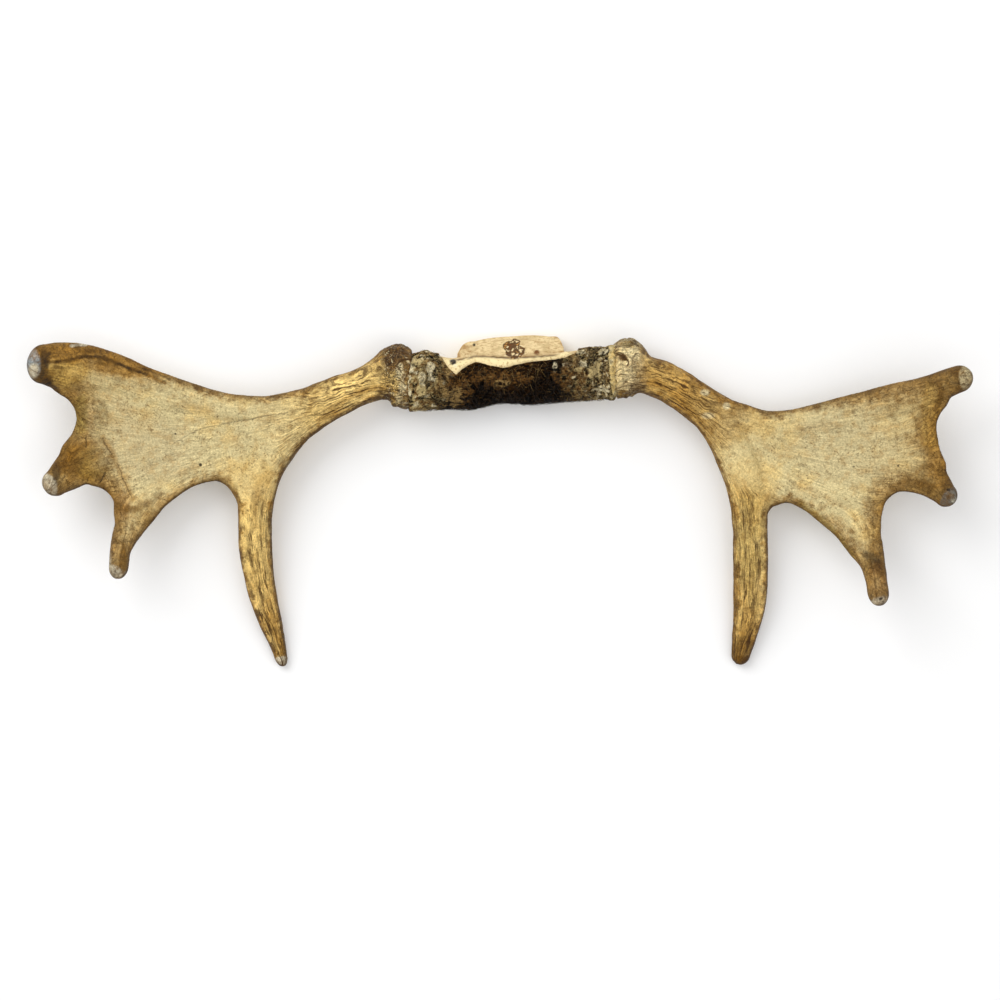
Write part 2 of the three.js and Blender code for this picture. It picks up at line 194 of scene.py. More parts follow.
# Where the hide stops behind the crest, and the crack behind the bare lip of bone: x, y.
HIDE_EDGE = [
    (-98, 27), (-74, 27), (-66, 24), (-58, 17), (-52, 8), (-44, 0.5), (-39, 5), (-33, 9.5), (-25, 13.5),
    (-19, 12.5), (-13, 10.5), (3, 7.5), (12, 9.5), (20, 11.5), (33, 14), (52, 15.5), (65, 17.5), (75, 22),
    (84, 30), (122, 32),
]
LIP_CRACK = [(-60, 18), (-42, 15), (-23, 19), (-10, 18.3), (10, 17), (27, 17.5), (57, 20), (66, 22.5)]
# The open marrow in the sawn block: x, y, radius.
MARROW = [
    (15.6, 32.2, 4.4), (8.4, 29.5, 4.6), (14, 26.4, 7.2), (20.8, 25, 4), (18.5, 21, 3.4), (9.5, 22.5, 3.4),
    (13.2, 17.4, 2.6),
]

# Holes and flecks in the bone: x, y, radius, shade.
BONE_SPOTS = [
    (37, 23, 2.8, "marrow"), (13, 18.5, 2.2, "rust"), (-26, 31, 1.6, "dark"), (-47, 13, 3.6, "dark"),
    (-45, 9, 2.2, "flake"),
]


# ---------------------------------------------------------------- numbers


def smooth_step(low, high, value):
    """0 below low, 1 above high, and 3t^2 - 2t^3 between them, t being the share of the way."""
    t = np.clip((value - low) / (high - low), 0, 1)
    return t * t * (3 - 2 * t)


def grain(points, seed):
    """Gradient noise between about -1 and 1. Each corner of the unit cell has a random direction; its dot
    product with the way to the point is blended over the cell by 6t^5 - 15t^4 + 10t^3."""
    rng = np.random.default_rng(seed)
    directions = rng.normal(size=(256, 3))
    directions /= np.linalg.norm(directions, axis=1, keepdims=True)
    shuffle = rng.permutation(256)
    cell = np.floor(points).astype(int)
    part = points - cell
    fade = part**3 * (part * (part * 6 - 15) + 10)
    total = np.zeros(len(points))
    for corner in itertools.product((0, 1), repeat=3):
        at = (cell + corner) & 255
        key = shuffle[(shuffle[(shuffle[at[:, 0]] + at[:, 1]) & 255] + at[:, 2]) & 255]
        pull = np.einsum("ij,ij->i", directions[key], part - corner)
        total += pull * np.prod(np.where(corner, fade, 1 - fade), axis=1)
    return 1.6 * total


def rough_grain(points, seed, octaves=3):
    """Noise summed over octaves, each twice as fine and half as strong as the one before."""
    total = sum(grain(points * 2**k, seed + k) / 2**k for k in range(octaves))
    return total / (2 - 2.0 ** (1 - octaves))


def through_rows(rows, count):
    """A smooth run through the rows: cubic pieces along the chord length, each row's slope being the mean
    slope of the chords beside it. Returns count rows at even steps."""
    rows = np.asarray(rows, float)
    chord = np.linalg.norm(np.diff(rows[:, :2], axis=0), axis=1)
    at = np.concatenate([[0], np.cumsum(chord)])
    slope = np.gradient(rows, at, axis=0)
    place = np.linspace(0, at[-1], count)
    i = np.clip(np.searchsorted(at, place, side="right") - 1, 0, len(at) - 2)
    span = (at[i + 1] - at[i])[:, None]
    t = ((place - at[i]) / span[:, 0])[:, None]
    start = (1 + 2 * t) * (1 - t) ** 2 * rows[i] + t * (1 - t) ** 2 * span * slope[i]
    end = t**2 * (3 - 2 * t) * rows[i + 1] + t**2 * (t - 1) * span * slope[i + 1]
    return start + end


def way_to_path(places, path):
    """For each place the distance to the nearest point of the path, how far along the path that is, and a
    number above 0 where the place lies right of the path."""
    start, step = path[:-1], np.diff(path, axis=0)
    length = np.linalg.norm(step, axis=1)
    before = np.concatenate([[0], np.cumsum(length)[:-1]])
    best = np.full(len(places), np.inf)
    along = np.zeros(len(places))
    turn = np.zeros(len(places))
    for a, d, size, run in zip(start, step, length, before):
        way = places - a
        share = np.clip((way @ d) / size**2, 0, 1)
        gap = np.linalg.norm(way - share[:, None] * d, axis=1)
        nearer = gap < best
        best = np.where(nearer, gap, best)
        along = np.where(nearer, run + share * size, along)
        turn = np.where(nearer, way[:, 0] * d[1] - way[:, 1] * d[0], turn)
    return best, along, turn


def dish_height(x, y):
    """The palm's mid surface: level near the beam, rising with the square of the way out and of the way to
    the front or back edge."""
    outward = np.maximum(0, np.abs(x) - DISH["start_x"]) / DISH["outward_run"]
    sideways = (y - DISH["mid_y"]) / DISH["side_run"]
    side_rise = DISH["side_rise"] * smooth_step(DISH["side_start_x"], DISH["side_full_x"], np.abs(x))
    return DISH["floor"] + DISH["outward_rise"] * outward**2 + side_rise * sideways**2


PATH_STEPS = 40


def gap_to(path, places):
    """The distance from each place to the smooth line through the path."""
    return way_to_path(places, through_rows(path, PATH_STEPS))[0]


# ---------------------------------------------------------------- surfaces


def skin(sections):
    """A closed shell over sections (rows of points in rings of equal count), each end closed by a fan to
    the ring's middle. Returns points and faces."""
    rows, ring, _ = sections.shape
    index = np.arange(rows * ring).reshape(rows, ring)
    following = np.roll(index, -1, axis=1)
    quads = np.stack([index[:-1], following[:-1], following[1:], index[1:]], axis=-1).reshape(-1, 4)
    first, last = rows * ring, rows * ring + 1
    start_fan = np.stack([following[0], index[0], np.full(ring, first)], axis=-1)
    end_fan = np.stack([index[-1], following[-1], np.full(ring, last)], axis=-1)
    points = np.concatenate([sections.reshape(-1, 3), sections[[0, -1]].mean(axis=1)])
    return points, quads.tolist() + start_fan.tolist() + end_fan.tolist()


# How many steps before and after a section its direction is taken from. More keeps stout bends from folding.
TURN_REACH = 9


def limb(rows, tip=0, steps=120, around=48, squareness=2, upright=False):
    """A profile carried along a path. Along the path the profile is an ellipse (or, above squareness 2, a
    fuller oval): half width * cos across, half thickness * sin over. A tip rounds the end off as a quarter
    ellipse. Upright profiles stay square to X."""
    run = through_rows(rows, steps)
    centre, width, thick = run[:, :3], run[:, 3], run[:, 4]
    step = np.arange(steps)
    along = centre[np.minimum(step + TURN_REACH, steps - 1)] - centre[np.maximum(step - TURN_REACH, 0)]
    if upright:
        along = np.tile([1.0, 0, 0], (steps, 1))
    along /= np.linalg.norm(along, axis=1, keepdims=True)
    if tip:
        turn = np.linspace(0, np.pi / 2, 14)[1:-1]
        centre = np.concatenate([centre, centre[-1] + along[-1] * tip * np.sin(turn)[:, None]])
        width = np.concatenate([width, width[-1] * np.cos(turn)])
        thick = np.concatenate([thick, thick[-1] * np.cos(turn)])
        along = np.concatenate([along, np.tile(along[-1], (len(turn), 1))])
    side = np.cross([0, 0, 1.0], along)
    side /= np.linalg.norm(side, axis=1, keepdims=True)
    over = np.cross(along, side)
    angle = np.linspace(0, 2 * np.pi, around, endpoint=False)
    across = np.sign(np.cos(angle)) * np.abs(np.cos(angle)) ** (2 / squareness)
    height = np.sign(np.sin(angle)) * np.abs(np.sin(angle)) ** (2 / squareness)
    return (
        centre[:, None]
        + (width[:, None] * across)[..., None] * side[:, None]
        + (thick[:, None] * height)[..., None] * over[:, None]
    )


def palm_plate(centre, edge):
    """A surface of two parameters. One goes round the palm's edge; the other goes from the middle of the
    lower face, out round the rim as a half circle, and back over the upper face. It follows the dish."""
    edge = np.array(list(edge) + [edge[0]], float)
    outline = through_rows(edge, 401)[:-1]
    turn = np.linspace(0, np.pi / 2, 9)
    share = np.linspace(0, 1, 40)[1:]
    inset = np.concatenate([PALM_RIM * (1 - np.cos(turn)), np.full(len(share), PALM_RIM)])
    half = np.concatenate(
        [PALM_RIM * np.sin(turn), PALM_RIM + (PALM_HALF_THICKNESS - PALM_RIM) * smooth_step(0, 0.4, share)]
    )
    share = np.concatenate([np.zeros(len(turn)), share * 0.98])
    inward = np.asarray(centre, float) - outline
    reach = np.linalg.norm(inward, axis=1)
    gone = inset[:, None] / reach + share[:, None] * (1 - inset[:, None] / reach)
    place = outline + gone[..., None] * inward
    middle = dish_height(place[..., 0], place[..., 1])
    upper = np.concatenate([place, (middle + half[:, None])[..., None]], axis=-1)
    lower = np.concatenate([place, (middle - half[:, None])[..., None]], axis=-1)
    return np.concatenate([lower[:0:-1], upper])


def mesh_object(name, points, faces):
    """A mesh object from points in millimetres."""
    mesh = bpy.data.meshes.new(name)
    mesh.from_pydata((np.asarray(points) * MM).tolist(), [], faces)
    mesh.update()
    obj = bpy.data.objects.new(name, mesh)
    bpy.context.scene.collection.objects.link(obj)
    return obj


def fused(name, shells, grain_size):
    """One seamless skin round overlapping closed shells, in even quads of about grain_size."""
    points, faces, count = [], [], 0
    for shell_points, shell_faces in map(skin, shells):
        points.append(shell_points)
        faces.extend([[corner + count for corner in face] for face in shell_faces])
        count += len(shell_points)
    rough = mesh_object(name + "_rough", np.concatenate(points), faces)
    remesh = rough.modifiers.new("Fuse", "REMESH")
    remesh.mode = "VOXEL"
    remesh.voxel_size = grain_size * MM
    ready = rough.evaluated_get(bpy.context.evaluated_depsgraph_get())
    mesh = bpy.data.meshes.new_from_object(ready)
    mesh.name = name
    bpy.data.objects.remove(rough)
    obj = bpy.data.objects.new(name, mesh)
    bpy.context.scene.collection.objects.link(obj)
    return obj


def points_of(mesh):
    """The mesh's points in millimetres."""
    flat = np.empty(len(mesh.vertices) * 3, np.float32)
    mesh.vertices.foreach_get("co", flat)
    return flat.reshape(-1, 3).astype(float) / MM


def normals_of(mesh):
    """The mesh's outward directions, point by point."""
    flat = np.empty(len(mesh.vertices) * 3, np.float32)
    mesh.vertex_normals.foreach_get("vector", flat)
    return flat.reshape(-1, 3).astype(float)


def move_points(mesh, points):
    """Puts the mesh's points at new places, in millimetres."""
    mesh.vertices.foreach_set("co", (points * MM).astype(np.float32).ravel())
    mesh.update()


def neighbour_mean(mesh):
    """A function that gives each point the mean of a value over the points it shares an edge with."""
    pairs = np.empty(len(mesh.edges) * 2, np.int32)
    mesh.edges.foreach_get("vertices", pairs)
    a, b = pairs.reshape(-1, 2).T
    count = len(mesh.vertices)
    degree = np.bincount(a, minlength=count) + np.bincount(b, minlength=count)

    def mean(values):
        columns = [np.bincount(a, v[b], count) + np.bincount(b, v[a], count) for v in values.T]
        return np.stack(columns, axis=1) / degree[:, None]

    return mean


def relax(mesh, rounds):
    """Evens the skin out: by turns each point goes halfway to its neighbours' mean and a little further
    back out, so that creases fade and thickness stays."""
    mean = neighbour_mean(mesh)
    points = points_of(mesh)
    for _ in range(rounds):
        points += 0.5 * (mean(points) - points)
        points -= 0.52 * (mean(points) - points)
    move_points(mesh, points)


def give_values(mesh, **values):
    """Stores one number a point under each name."""
    for name, value in values.items():
        layer = mesh.attributes.new(name, "FLOAT", "POINT")
        layer.data.foreach_set("value", np.ascontiguousarray(value, np.float32))


def give_colour(mesh, colour):
    """Stores one colour a point, as Tint."""
    layer = mesh.attributes.new("Tint", "FLOAT_COLOR", "POINT")
    flat = np.concatenate([colour, np.ones((len(colour), 1))], axis=1).astype(np.float32)
    layer.data.foreach_set("color", flat.ravel())


def linear(text):
    """An sRGB colour written as six hex digits, as linear red, green and blue."""
    value = np.array([int(text[i : i + 2], 16) for i in (0, 2, 4)]) / 255
    return np.where(value <= 0.04045, value / 12.92, ((value + 0.055) / 1.055) ** 2.4)


class Paint:
    """A colour for each point, built up coat by coat."""

    def __init__(self, palette, ground, count):
        self.palette = palette
        self.colour = np.tile(palette[ground], (count, 1))

    def coat(self, shade, amount):
        """Blends a shade over what is there, by an amount for each point."""
        amount = np.clip(amount, 0, 1)[:, None]
        self.colour = self.colour * (1 - amount) + np.asarray(self.palette[shade]) * amount


def max_of(values):
    """The greatest of several values, point by point."""
    return np.max(np.stack(values), axis=0)


def blob(places, x, y, radius, stretch=(1, 1)):
    """1 at the spot's middle, falling off as a bell curve to nothing at about twice the radius."""
    gap = (places - (x, y)) / (np.asarray(stretch) * radius)
    return np.exp(-(gap**2).sum(axis=1))


# ---------------------------------------------------------------- antler


# The growth map's cell, its margin in cells, and how it is solved.
FLOW_CELL = 2.0
FLOW_MARGIN = 4
FLOW_ROUNDS = 500
OVER_RELAXATION = 1.9
# How the beam's width is shared out: the growth lines that bound the brow tine, the lower, the middle and the
# top point.
BAY_VALUES = np.array([0.0, 0.34, 0.52, 0.7, 1.0])
BEAM_WIDTH = 40
# How often the spacing of the growth lines can double.
LEVELS = 5
# Between which distances the beam's and the tine's look fades: from the skull, and from the tine's middle
# line, which starts TINE_ROOT steps out. BLEND_GAP evens out the growth map where two paths meet.
BEAM_FADE = (60, 170)
TINE_FADE = (8, 36)
TINE_ROOT = 15
BURR_SPREAD = 11
BLEND_GAP = 14
# The outline seen from above is where a normal's Z is below this; it is gathered into cells of this size.
UPRIGHT = 0.3
RIM_CELL = 3
BLOCK_OF_POINTS = 6000


def growth_paths(plan):
    """The middle lines from the skull into the four points, in order from the brow tine to the top point.
    On the beam they run side by side."""
    beam = np.array(plan["beam"], float)[:, :2]
    points = {name: np.array(point["rows"], float)[:, :2] for name, point in plan["points"].items()}
    limbs = (
        (beam[: plan["fork_row"]], np.array(plan["brow_tine"], float)[3:, :2]),
        (beam[:-1], points["lower"]),
        (beam[:-1], points["middle"]),
        (beam[: plan["fork_row"]], points["top"][3:]),
    )
    shifts = (-12, -4, 4, 12)
    return [np.concatenate([root + (0, shift), rest]) for (root, rest), shift in zip(limbs, shifts)]


def growth_map(plan, points):
    """The way the antler grew, on a grid over the plan. Each bay of the outline has one value; inside,
    every cell is the mean of its four neighbours, found by over-relaxation. The level lines of such a map
    run from the burr out into every point. Also returns how steep the map is and the antler's middle
    height."""
    low = points[:, :2].min(axis=0) - FLOW_MARGIN * FLOW_CELL
    high = points[:, :2].max(axis=0) + FLOW_MARGIN * FLOW_CELL
    size = np.ceil((high - low) / FLOW_CELL).astype(int) + 1
    cell = np.round((points[:, :2] - low) / FLOW_CELL).astype(int)
    flat = cell[:, 0] * size[1] + cell[:, 1]
    count = np.bincount(flat, minlength=size.prod()).reshape(size).astype(float)
    height = np.bincount(flat, points[:, 2], minlength=size.prod()).reshape(size)
    centres = np.stack(np.indices(size), axis=-1).reshape(-1, 2) * FLOW_CELL + low
    nearest = np.full(len(centres), np.inf)
    inner_bay = np.zeros(len(centres), int)
    outward = np.sign(plan["pedicle_x"])
    for k, path in enumerate(growth_paths(plan)):
        gap, _, turn = way_to_path(centres, through_rows(path, PATH_STEPS))
        closer = gap < nearest
        nearest = np.where(closer, gap, nearest)
        inner_bay = np.where(closer, k + (turn * outward < 0), inner_bay)
    value = BAY_VALUES[inner_bay].reshape(size)
    parity = np.indices(size).sum(axis=0) % 2
    inside = count > 0
    for _ in range(FLOW_ROUNDS):
        for mask in (inside & (parity == 0), inside & (parity == 1)):
            near = sum(np.roll(value, way, axis) for axis in (0, 1) for way in (1, -1))
            value = np.where(mask, value + OVER_RELAXATION * (near / 4 - value), value)
    steep = np.hypot(*np.gradient(value, FLOW_CELL))
    for _ in range(3):
        steep, count, height = (box_blur(grid) for grid in (steep, count, height))
    return dict(low=low, flow=value, steep=steep, middle=height / np.maximum(count, 1e-6))


def box_blur(grid):
    """The mean over each cell and its eight neighbours."""
    rows = (grid + np.roll(grid, 1, 0) + np.roll(grid, -1, 0)) / 3
    return (rows + np.roll(rows, 1, 1) + np.roll(rows, -1, 1)) / 3


def read_map(grid, low, places):
    """The grid's value at each place, blended linearly between its four nearest cells."""
    at = (places - low) / FLOW_CELL
    i = np.floor(at).astype(int)
    f, g = (at - i).T
    i, j = i.T
    near = grid[i, j] * (1 - g) + grid[i, j + 1] * g
    far = grid[i + 1, j] * (1 - g) + grid[i + 1, j + 1] * g
    return near * (1 - f) + far * f


def edge_distance(points, normals):
    """How far each point is from the outline seen from above, in the plan. The outline is where the skin
    turns upright, gathered into cells."""
    upright = points[np.abs(normals[:, 2]) < UPRIGHT][:, :2]
    cell = np.round(upright / RIM_CELL)
    _, member, count = np.unique(cell, axis=0, return_inverse=True, return_counts=True)
    member = member.ravel()
    rim = np.stack([np.bincount(member, upright[:, k]) / count for k in (0, 1)], axis=1)
    result = np.empty(len(points))
    for start in range(0, len(points), BLOCK_OF_POINTS):
        block = slice(start, start + BLOCK_OF_POINTS)
        result[block] = np.sqrt(((points[block, None, :2] - rim) ** 2).sum(axis=2).min(axis=1))
    return result


def antler_fields(plan, points, growth):
    """What the relief and the paint both need to know about each point of an antler. Flow counts across the
    growth, round the rim too; level is how many times the spacing of the growth lines has doubled since the
    beam."""
    places = points[:, :2]
    outward = np.sign(plan["pedicle_x"])
    from_skull = (points[:, 0] - plan["pedicle_x"]) * outward
    maps = (growth[key] for key in ("steep", "flow", "middle"))
    steep, flow, middle = (read_map(grid, growth["low"], places) for grid in maps)
    tine = through_rows(plan["brow_tine"], PATH_STEPS)[TINE_ROOT:, :2]
    tine_gap = way_to_path(places, tine)[0]
    paths = (through_rows(path, PATH_STEPS) for path in growth_paths(plan))
    gaps, runs, _ = zip(*(way_to_path(places, path) for path in paths))
    nearness = 1 / (np.array(gaps) + BLEND_GAP) ** 3
    return dict(
        flow=flow + steep * (points[:, 2] - middle),
        level=np.clip(-np.log2(np.maximum(steep, 1e-6) * BEAM_WIDTH), 0, LEVELS - 1),
        away=(np.array(runs) * nearness).sum(axis=0) / nearness.sum(axis=0),
        beam=1 - smooth_step(*BEAM_FADE, from_skull),
        tine=1 - smooth_step(*TINE_FADE, tine_gap),
        burr=np.exp(-(((points[:, 0] - plan["burr_x"]) / BURR_SPREAD) ** 2)) * (from_skull < BEAM_FADE[0]),
        from_skull=from_skull,
    )


def along_growth(field, across, along, seed):
    """Noise drawn out along the growth, with across cells over the beam's width and cells of the given
    length along it. Where the growth lines fan out, finer noise takes over, so that its grain stays even."""
    total = np.zeros(len(field["flow"]))
    for level in range(LEVELS):
        weight = np.clip(1 - np.abs(field["level"] - level), 0, 1)
        place = [field["flow"] * across * 2**level, field["away"] / along, np.full(len(total), 7.3 * level)]
        total += weight * grain(np.stack(place, axis=1), seed)
    return total


def carve_antler(plan, mesh, settings, valleys):
    """Moves each point along its normal by slow swells, furrows that follow the growth and are deepest on
    the beam, pearls on the burr, and the valleys given as paths. Returns the growth fields, which are worked
    out before anything moves."""
    points, normals = points_of(mesh), normals_of(mesh)
    field = antler_fields(plan, points, growth_map(plan, points))
    furrow = 1 - 2.4 * np.abs(along_growth(field, 7, 34, 11))
    fine = 1 - 2.4 * np.abs(along_growth(field, 14, 20, 12))
    depth = 0.1 + 0.8 * field["beam"] + 0.4 * field["tine"]
    cut = 0.7 * np.maximum(furrow, 0) ** 2 + 0.4 * np.maximum(fine, 0) ** 2
    lift = -settings.furrow_depth / MM * depth * cut
    lift += 0.9 * grain(points / 38, 13) * (1 - field["beam"]) + 0.3 * grain(points / 13, 14)
    pearls = rough_grain(points / 6.5, 15, 2)
    lift += settings.pearl_height / MM * field["burr"] * (pearls + 0.2)
    lift += 1.3 * rough_grain(points / 5, 16, 2) * np.exp(-np.maximum(0, field["from_skull"]) / 18)
    for path, depth_of, width in valleys:
        gap = gap_to(path, points[:, :2])
        lift -= depth_of * np.exp(-((gap / width) ** 2)) * (normals[:, 2] > 0.2)
    points += lift[:, None] * normals
    low, high = (-np.inf, plan["pedicle_x"]) if plan["pedicle_x"] < 0 else (plan["pedicle_x"], np.inf)
    points[:, 0] = np.clip(points[:, 0], low, high)
    points[:, 2] = np.maximum(points[:, 2], 0)
    move_points(mesh, points)
    return field


def build_antler(name, plan, settings, valleys):
    """The whole antler as one skin: beam, brow tine, three points and palm."""
    outward = np.sign(plan["pedicle_x"])
    beam = limb(plan["beam"], 20)
    beyond = (beam[:, :, 0].mean(axis=1) - plan["pedicle_x"]) * outward > -1
    shells = [beam[beyond], limb(plan["brow_tine"], plan["brow_tip"]), limb(plan["web"])]
    for point in plan["points"].values():
        x, y, width, thick = np.array(point["rows"], float).T
        shells.append(limb(np.stack([x, y, dish_height(x, y), width, thick], axis=1), point["tip"]))
    plate = palm_plate(plan["palm_centre"], plan["palm_edge"])
    if outward > 0:
        plate = plate[:, ::-1]
    shells.append(plate)
    obj = fused(name, shells, settings.skin_grain / MM)
    relax(obj.data, ANTLER_ROUNDS)
    return obj, carve_antler(plan, obj.data, settings, valleys)


# Valleys: path in x and y, depth, half width. The left palm has the dark furrow under its back edge and the
# shallow one that runs into the beam.
LEFT_VALLEYS = [
    ([(-438, 0), (-424, 5), (-408, 8.5), (-395, 8), (-380, 2), (-366, -6), (-352, -16)], 1.3, 4.5),
    ([(-352, -62), (-330, -57), (-300, -51), (-268, -47), (-240, -44), (-212, -36)], 0.5, 2.5),
]
RIGHT_VALLEYS = [
    ([(405, -62), (380, -68), (352, -76), (330, -78)], 0.4, 5),
]


def paint_antler(plan, mesh, field, palette, tips, stains_and_shade, seams):
    """Stores the growth values and a colour for each point: mottling, stained rims and streaks, worn tips,
    the burr, stains and two patches of painted shade beside tips, colour laid along paths, and last a
    painted shade along the outline, darkest on the side turned from the key lamp."""
    points, normals = points_of(mesh), normals_of(mesh)
    edge = edge_distance(points, normals)
    places = points[:, :2]
    mottle = rough_grain(points / 20, 21, 4)
    patch = rough_grain(points / 60, 22, 3)
    streak = along_growth(field, 3, 60, 23)
    paint = Paint(palette, "palm", len(points))
    paint.coat("tan", smooth_step(-0.1, 0.6, mottle + patch) * 0.5)
    limbs = np.maximum(field["beam"], field["tine"])
    fork = smooth_step(0.2, 0.75, blob(places, *plan["fork"]))
    paint.coat("tan", limbs * (0.85 - 0.4 * fork))
    paint.coat("pale", smooth_step(0.15, 0.7, -patch - 0.4 * mottle) * 0.3)
    calm = 0.3 + 0.7 * smooth_step(2.4, 1.1, field["level"])
    far_out = smooth_step(300, 410, np.abs(points[:, 0]))
    reach = (12 + 28 * far_out) * (1 - 0.62 * limbs)
    fleck = rough_grain(points / 6, 27, 3)
    rim = smooth_step(1, 0, (edge + 8 * mottle + 9 * fleck) / reach)
    wash = smooth_step(345, 450, np.abs(points[:, 0]) + 30 * patch)
    paint.coat("gold", wash * 0.4)
    paint.coat("ochre", rim * 0.62)
    paint.coat("ochre", smooth_step(0.0, 0.5, streak) * (0.25 + 0.35 * limbs))
    paint.coat("brown", smooth_step(7 - 3 * limbs, 0, edge + 3 * mottle) * 0.45)
    cracked = smooth_step(0.15, 0.35, rough_grain(points / 4, 24, 2))
    for x, y, radius, shade, band in tips:
        gap = np.hypot(*(places - (x, y)).T) + 5 * mottle
        paint.coat("dark", band * smooth_step(radius + 11, radius + 2, gap))
        paint.coat(shade, smooth_step(radius + 1, radius - 1, gap))
        paint.coat("brown", cracked * (gap < radius) * 0.6)
    paint_burr(plan, points, field, paint)
    dirty = rim.copy()
    # Stains, and on the left two patches of painted shade beside the tips of the lower and middle points.
    for x, y, radius, stretch, shade, amount in stains_and_shade:
        near = amount * smooth_step(0.2, 0.7, blob(places, x, y, radius, stretch) * (1 + 0.6 * mottle))
        paint.coat(shade, near)
        if shade in DIRTY_SHADES:
            dirty = np.maximum(dirty, 0.8 * near)
    ragged = 1.5 * rough_grain(points / 6, 30, 3)
    for path, width, shade, amount in seams:
        gap = gap_to(path, places) + ragged
        near = smooth_step(width, 0.3 * width, gap)
        paint.coat(shade, amount * near * (normals[:, 2] > 0))
    # Painted shade: a dark line along the outline seen from above, faint all round and darkest on the side
    # that faces +x and -y, away from the key lamp.
    shaded_side = smooth_step(-0.2, 0.7, normals @ np.array([0.6, -0.8, 0]))
    paint.coat("dark", smooth_step(3, 0.5, edge) * (0.15 + 0.6 * shaded_side))
    lines = np.clip(0.26 + 0.3 * rim + (0.85 * field["beam"] + 0.8 * field["tine"]) * calm, 0, 1)
    give_colour(mesh, paint.colour)
    give_values(
        mesh,
        Flow=field["flow"],
        Level=field["level"],
        Away=field["away"] / 100,
        Lines=lines * (1 - 0.9 * fork),
        Dirty=np.clip(dirty + 0.15 * wash, 0, 1),
        Rough=np.minimum(1.5 * field["burr"], 1) * plan["burr_cracks"],
    )


# Shades whose stains also gather dirt. The two patches of painted shade beside the left tips are brown and
# dark, so they raise the dirt mask too.
DIRTY_SHADES = ("brown", "ochre", "olive", "dark")


def paint_burr(plan, points, field, paint):
    """The rough burr in its own shade with dark cracks, and beside the seam the crusts and flakes of dried
    skin that run over from the pedicle."""
    gap = rough_grain(points / 4.5, 25, 3)
    knob = field["burr"] * smooth_step(*plan["burr_from"], points[:, 1] + 6 * gap)
    paint.coat(plan["burr_shade"], knob * smooth_step(-0.6, 0.0, gap))
    cracked = smooth_step(0.15, 0.35, rough_grain(points / 3.2, 28, 3))
    paint.coat("dark", knob * cracked * 0.85)
    crumbs = field["burr"] * smooth_step(0.3, 0.45, rough_grain(points / 4, 26, 2))
    paint.coat("cream", crumbs * 0.75)
    near_seam = smooth_step(plan["crust_reach"], 0.35 * plan["crust_reach"], field["from_skull"] + 7 * gap)
    flaky = rough_grain(points / 5, 29, 3)
    paint.coat(plan["crust_shade"], near_seam * smooth_step(-0.5, 0.1, flaky))
    paint.coat("cream", near_seam * smooth_step(0.1, 0.25, flaky) * 0.9)
    paint.coat("dark", near_seam * smooth_step(-0.15, -0.35, flaky) * 0.8)


# ---------------------------------------------------------------- node helpers


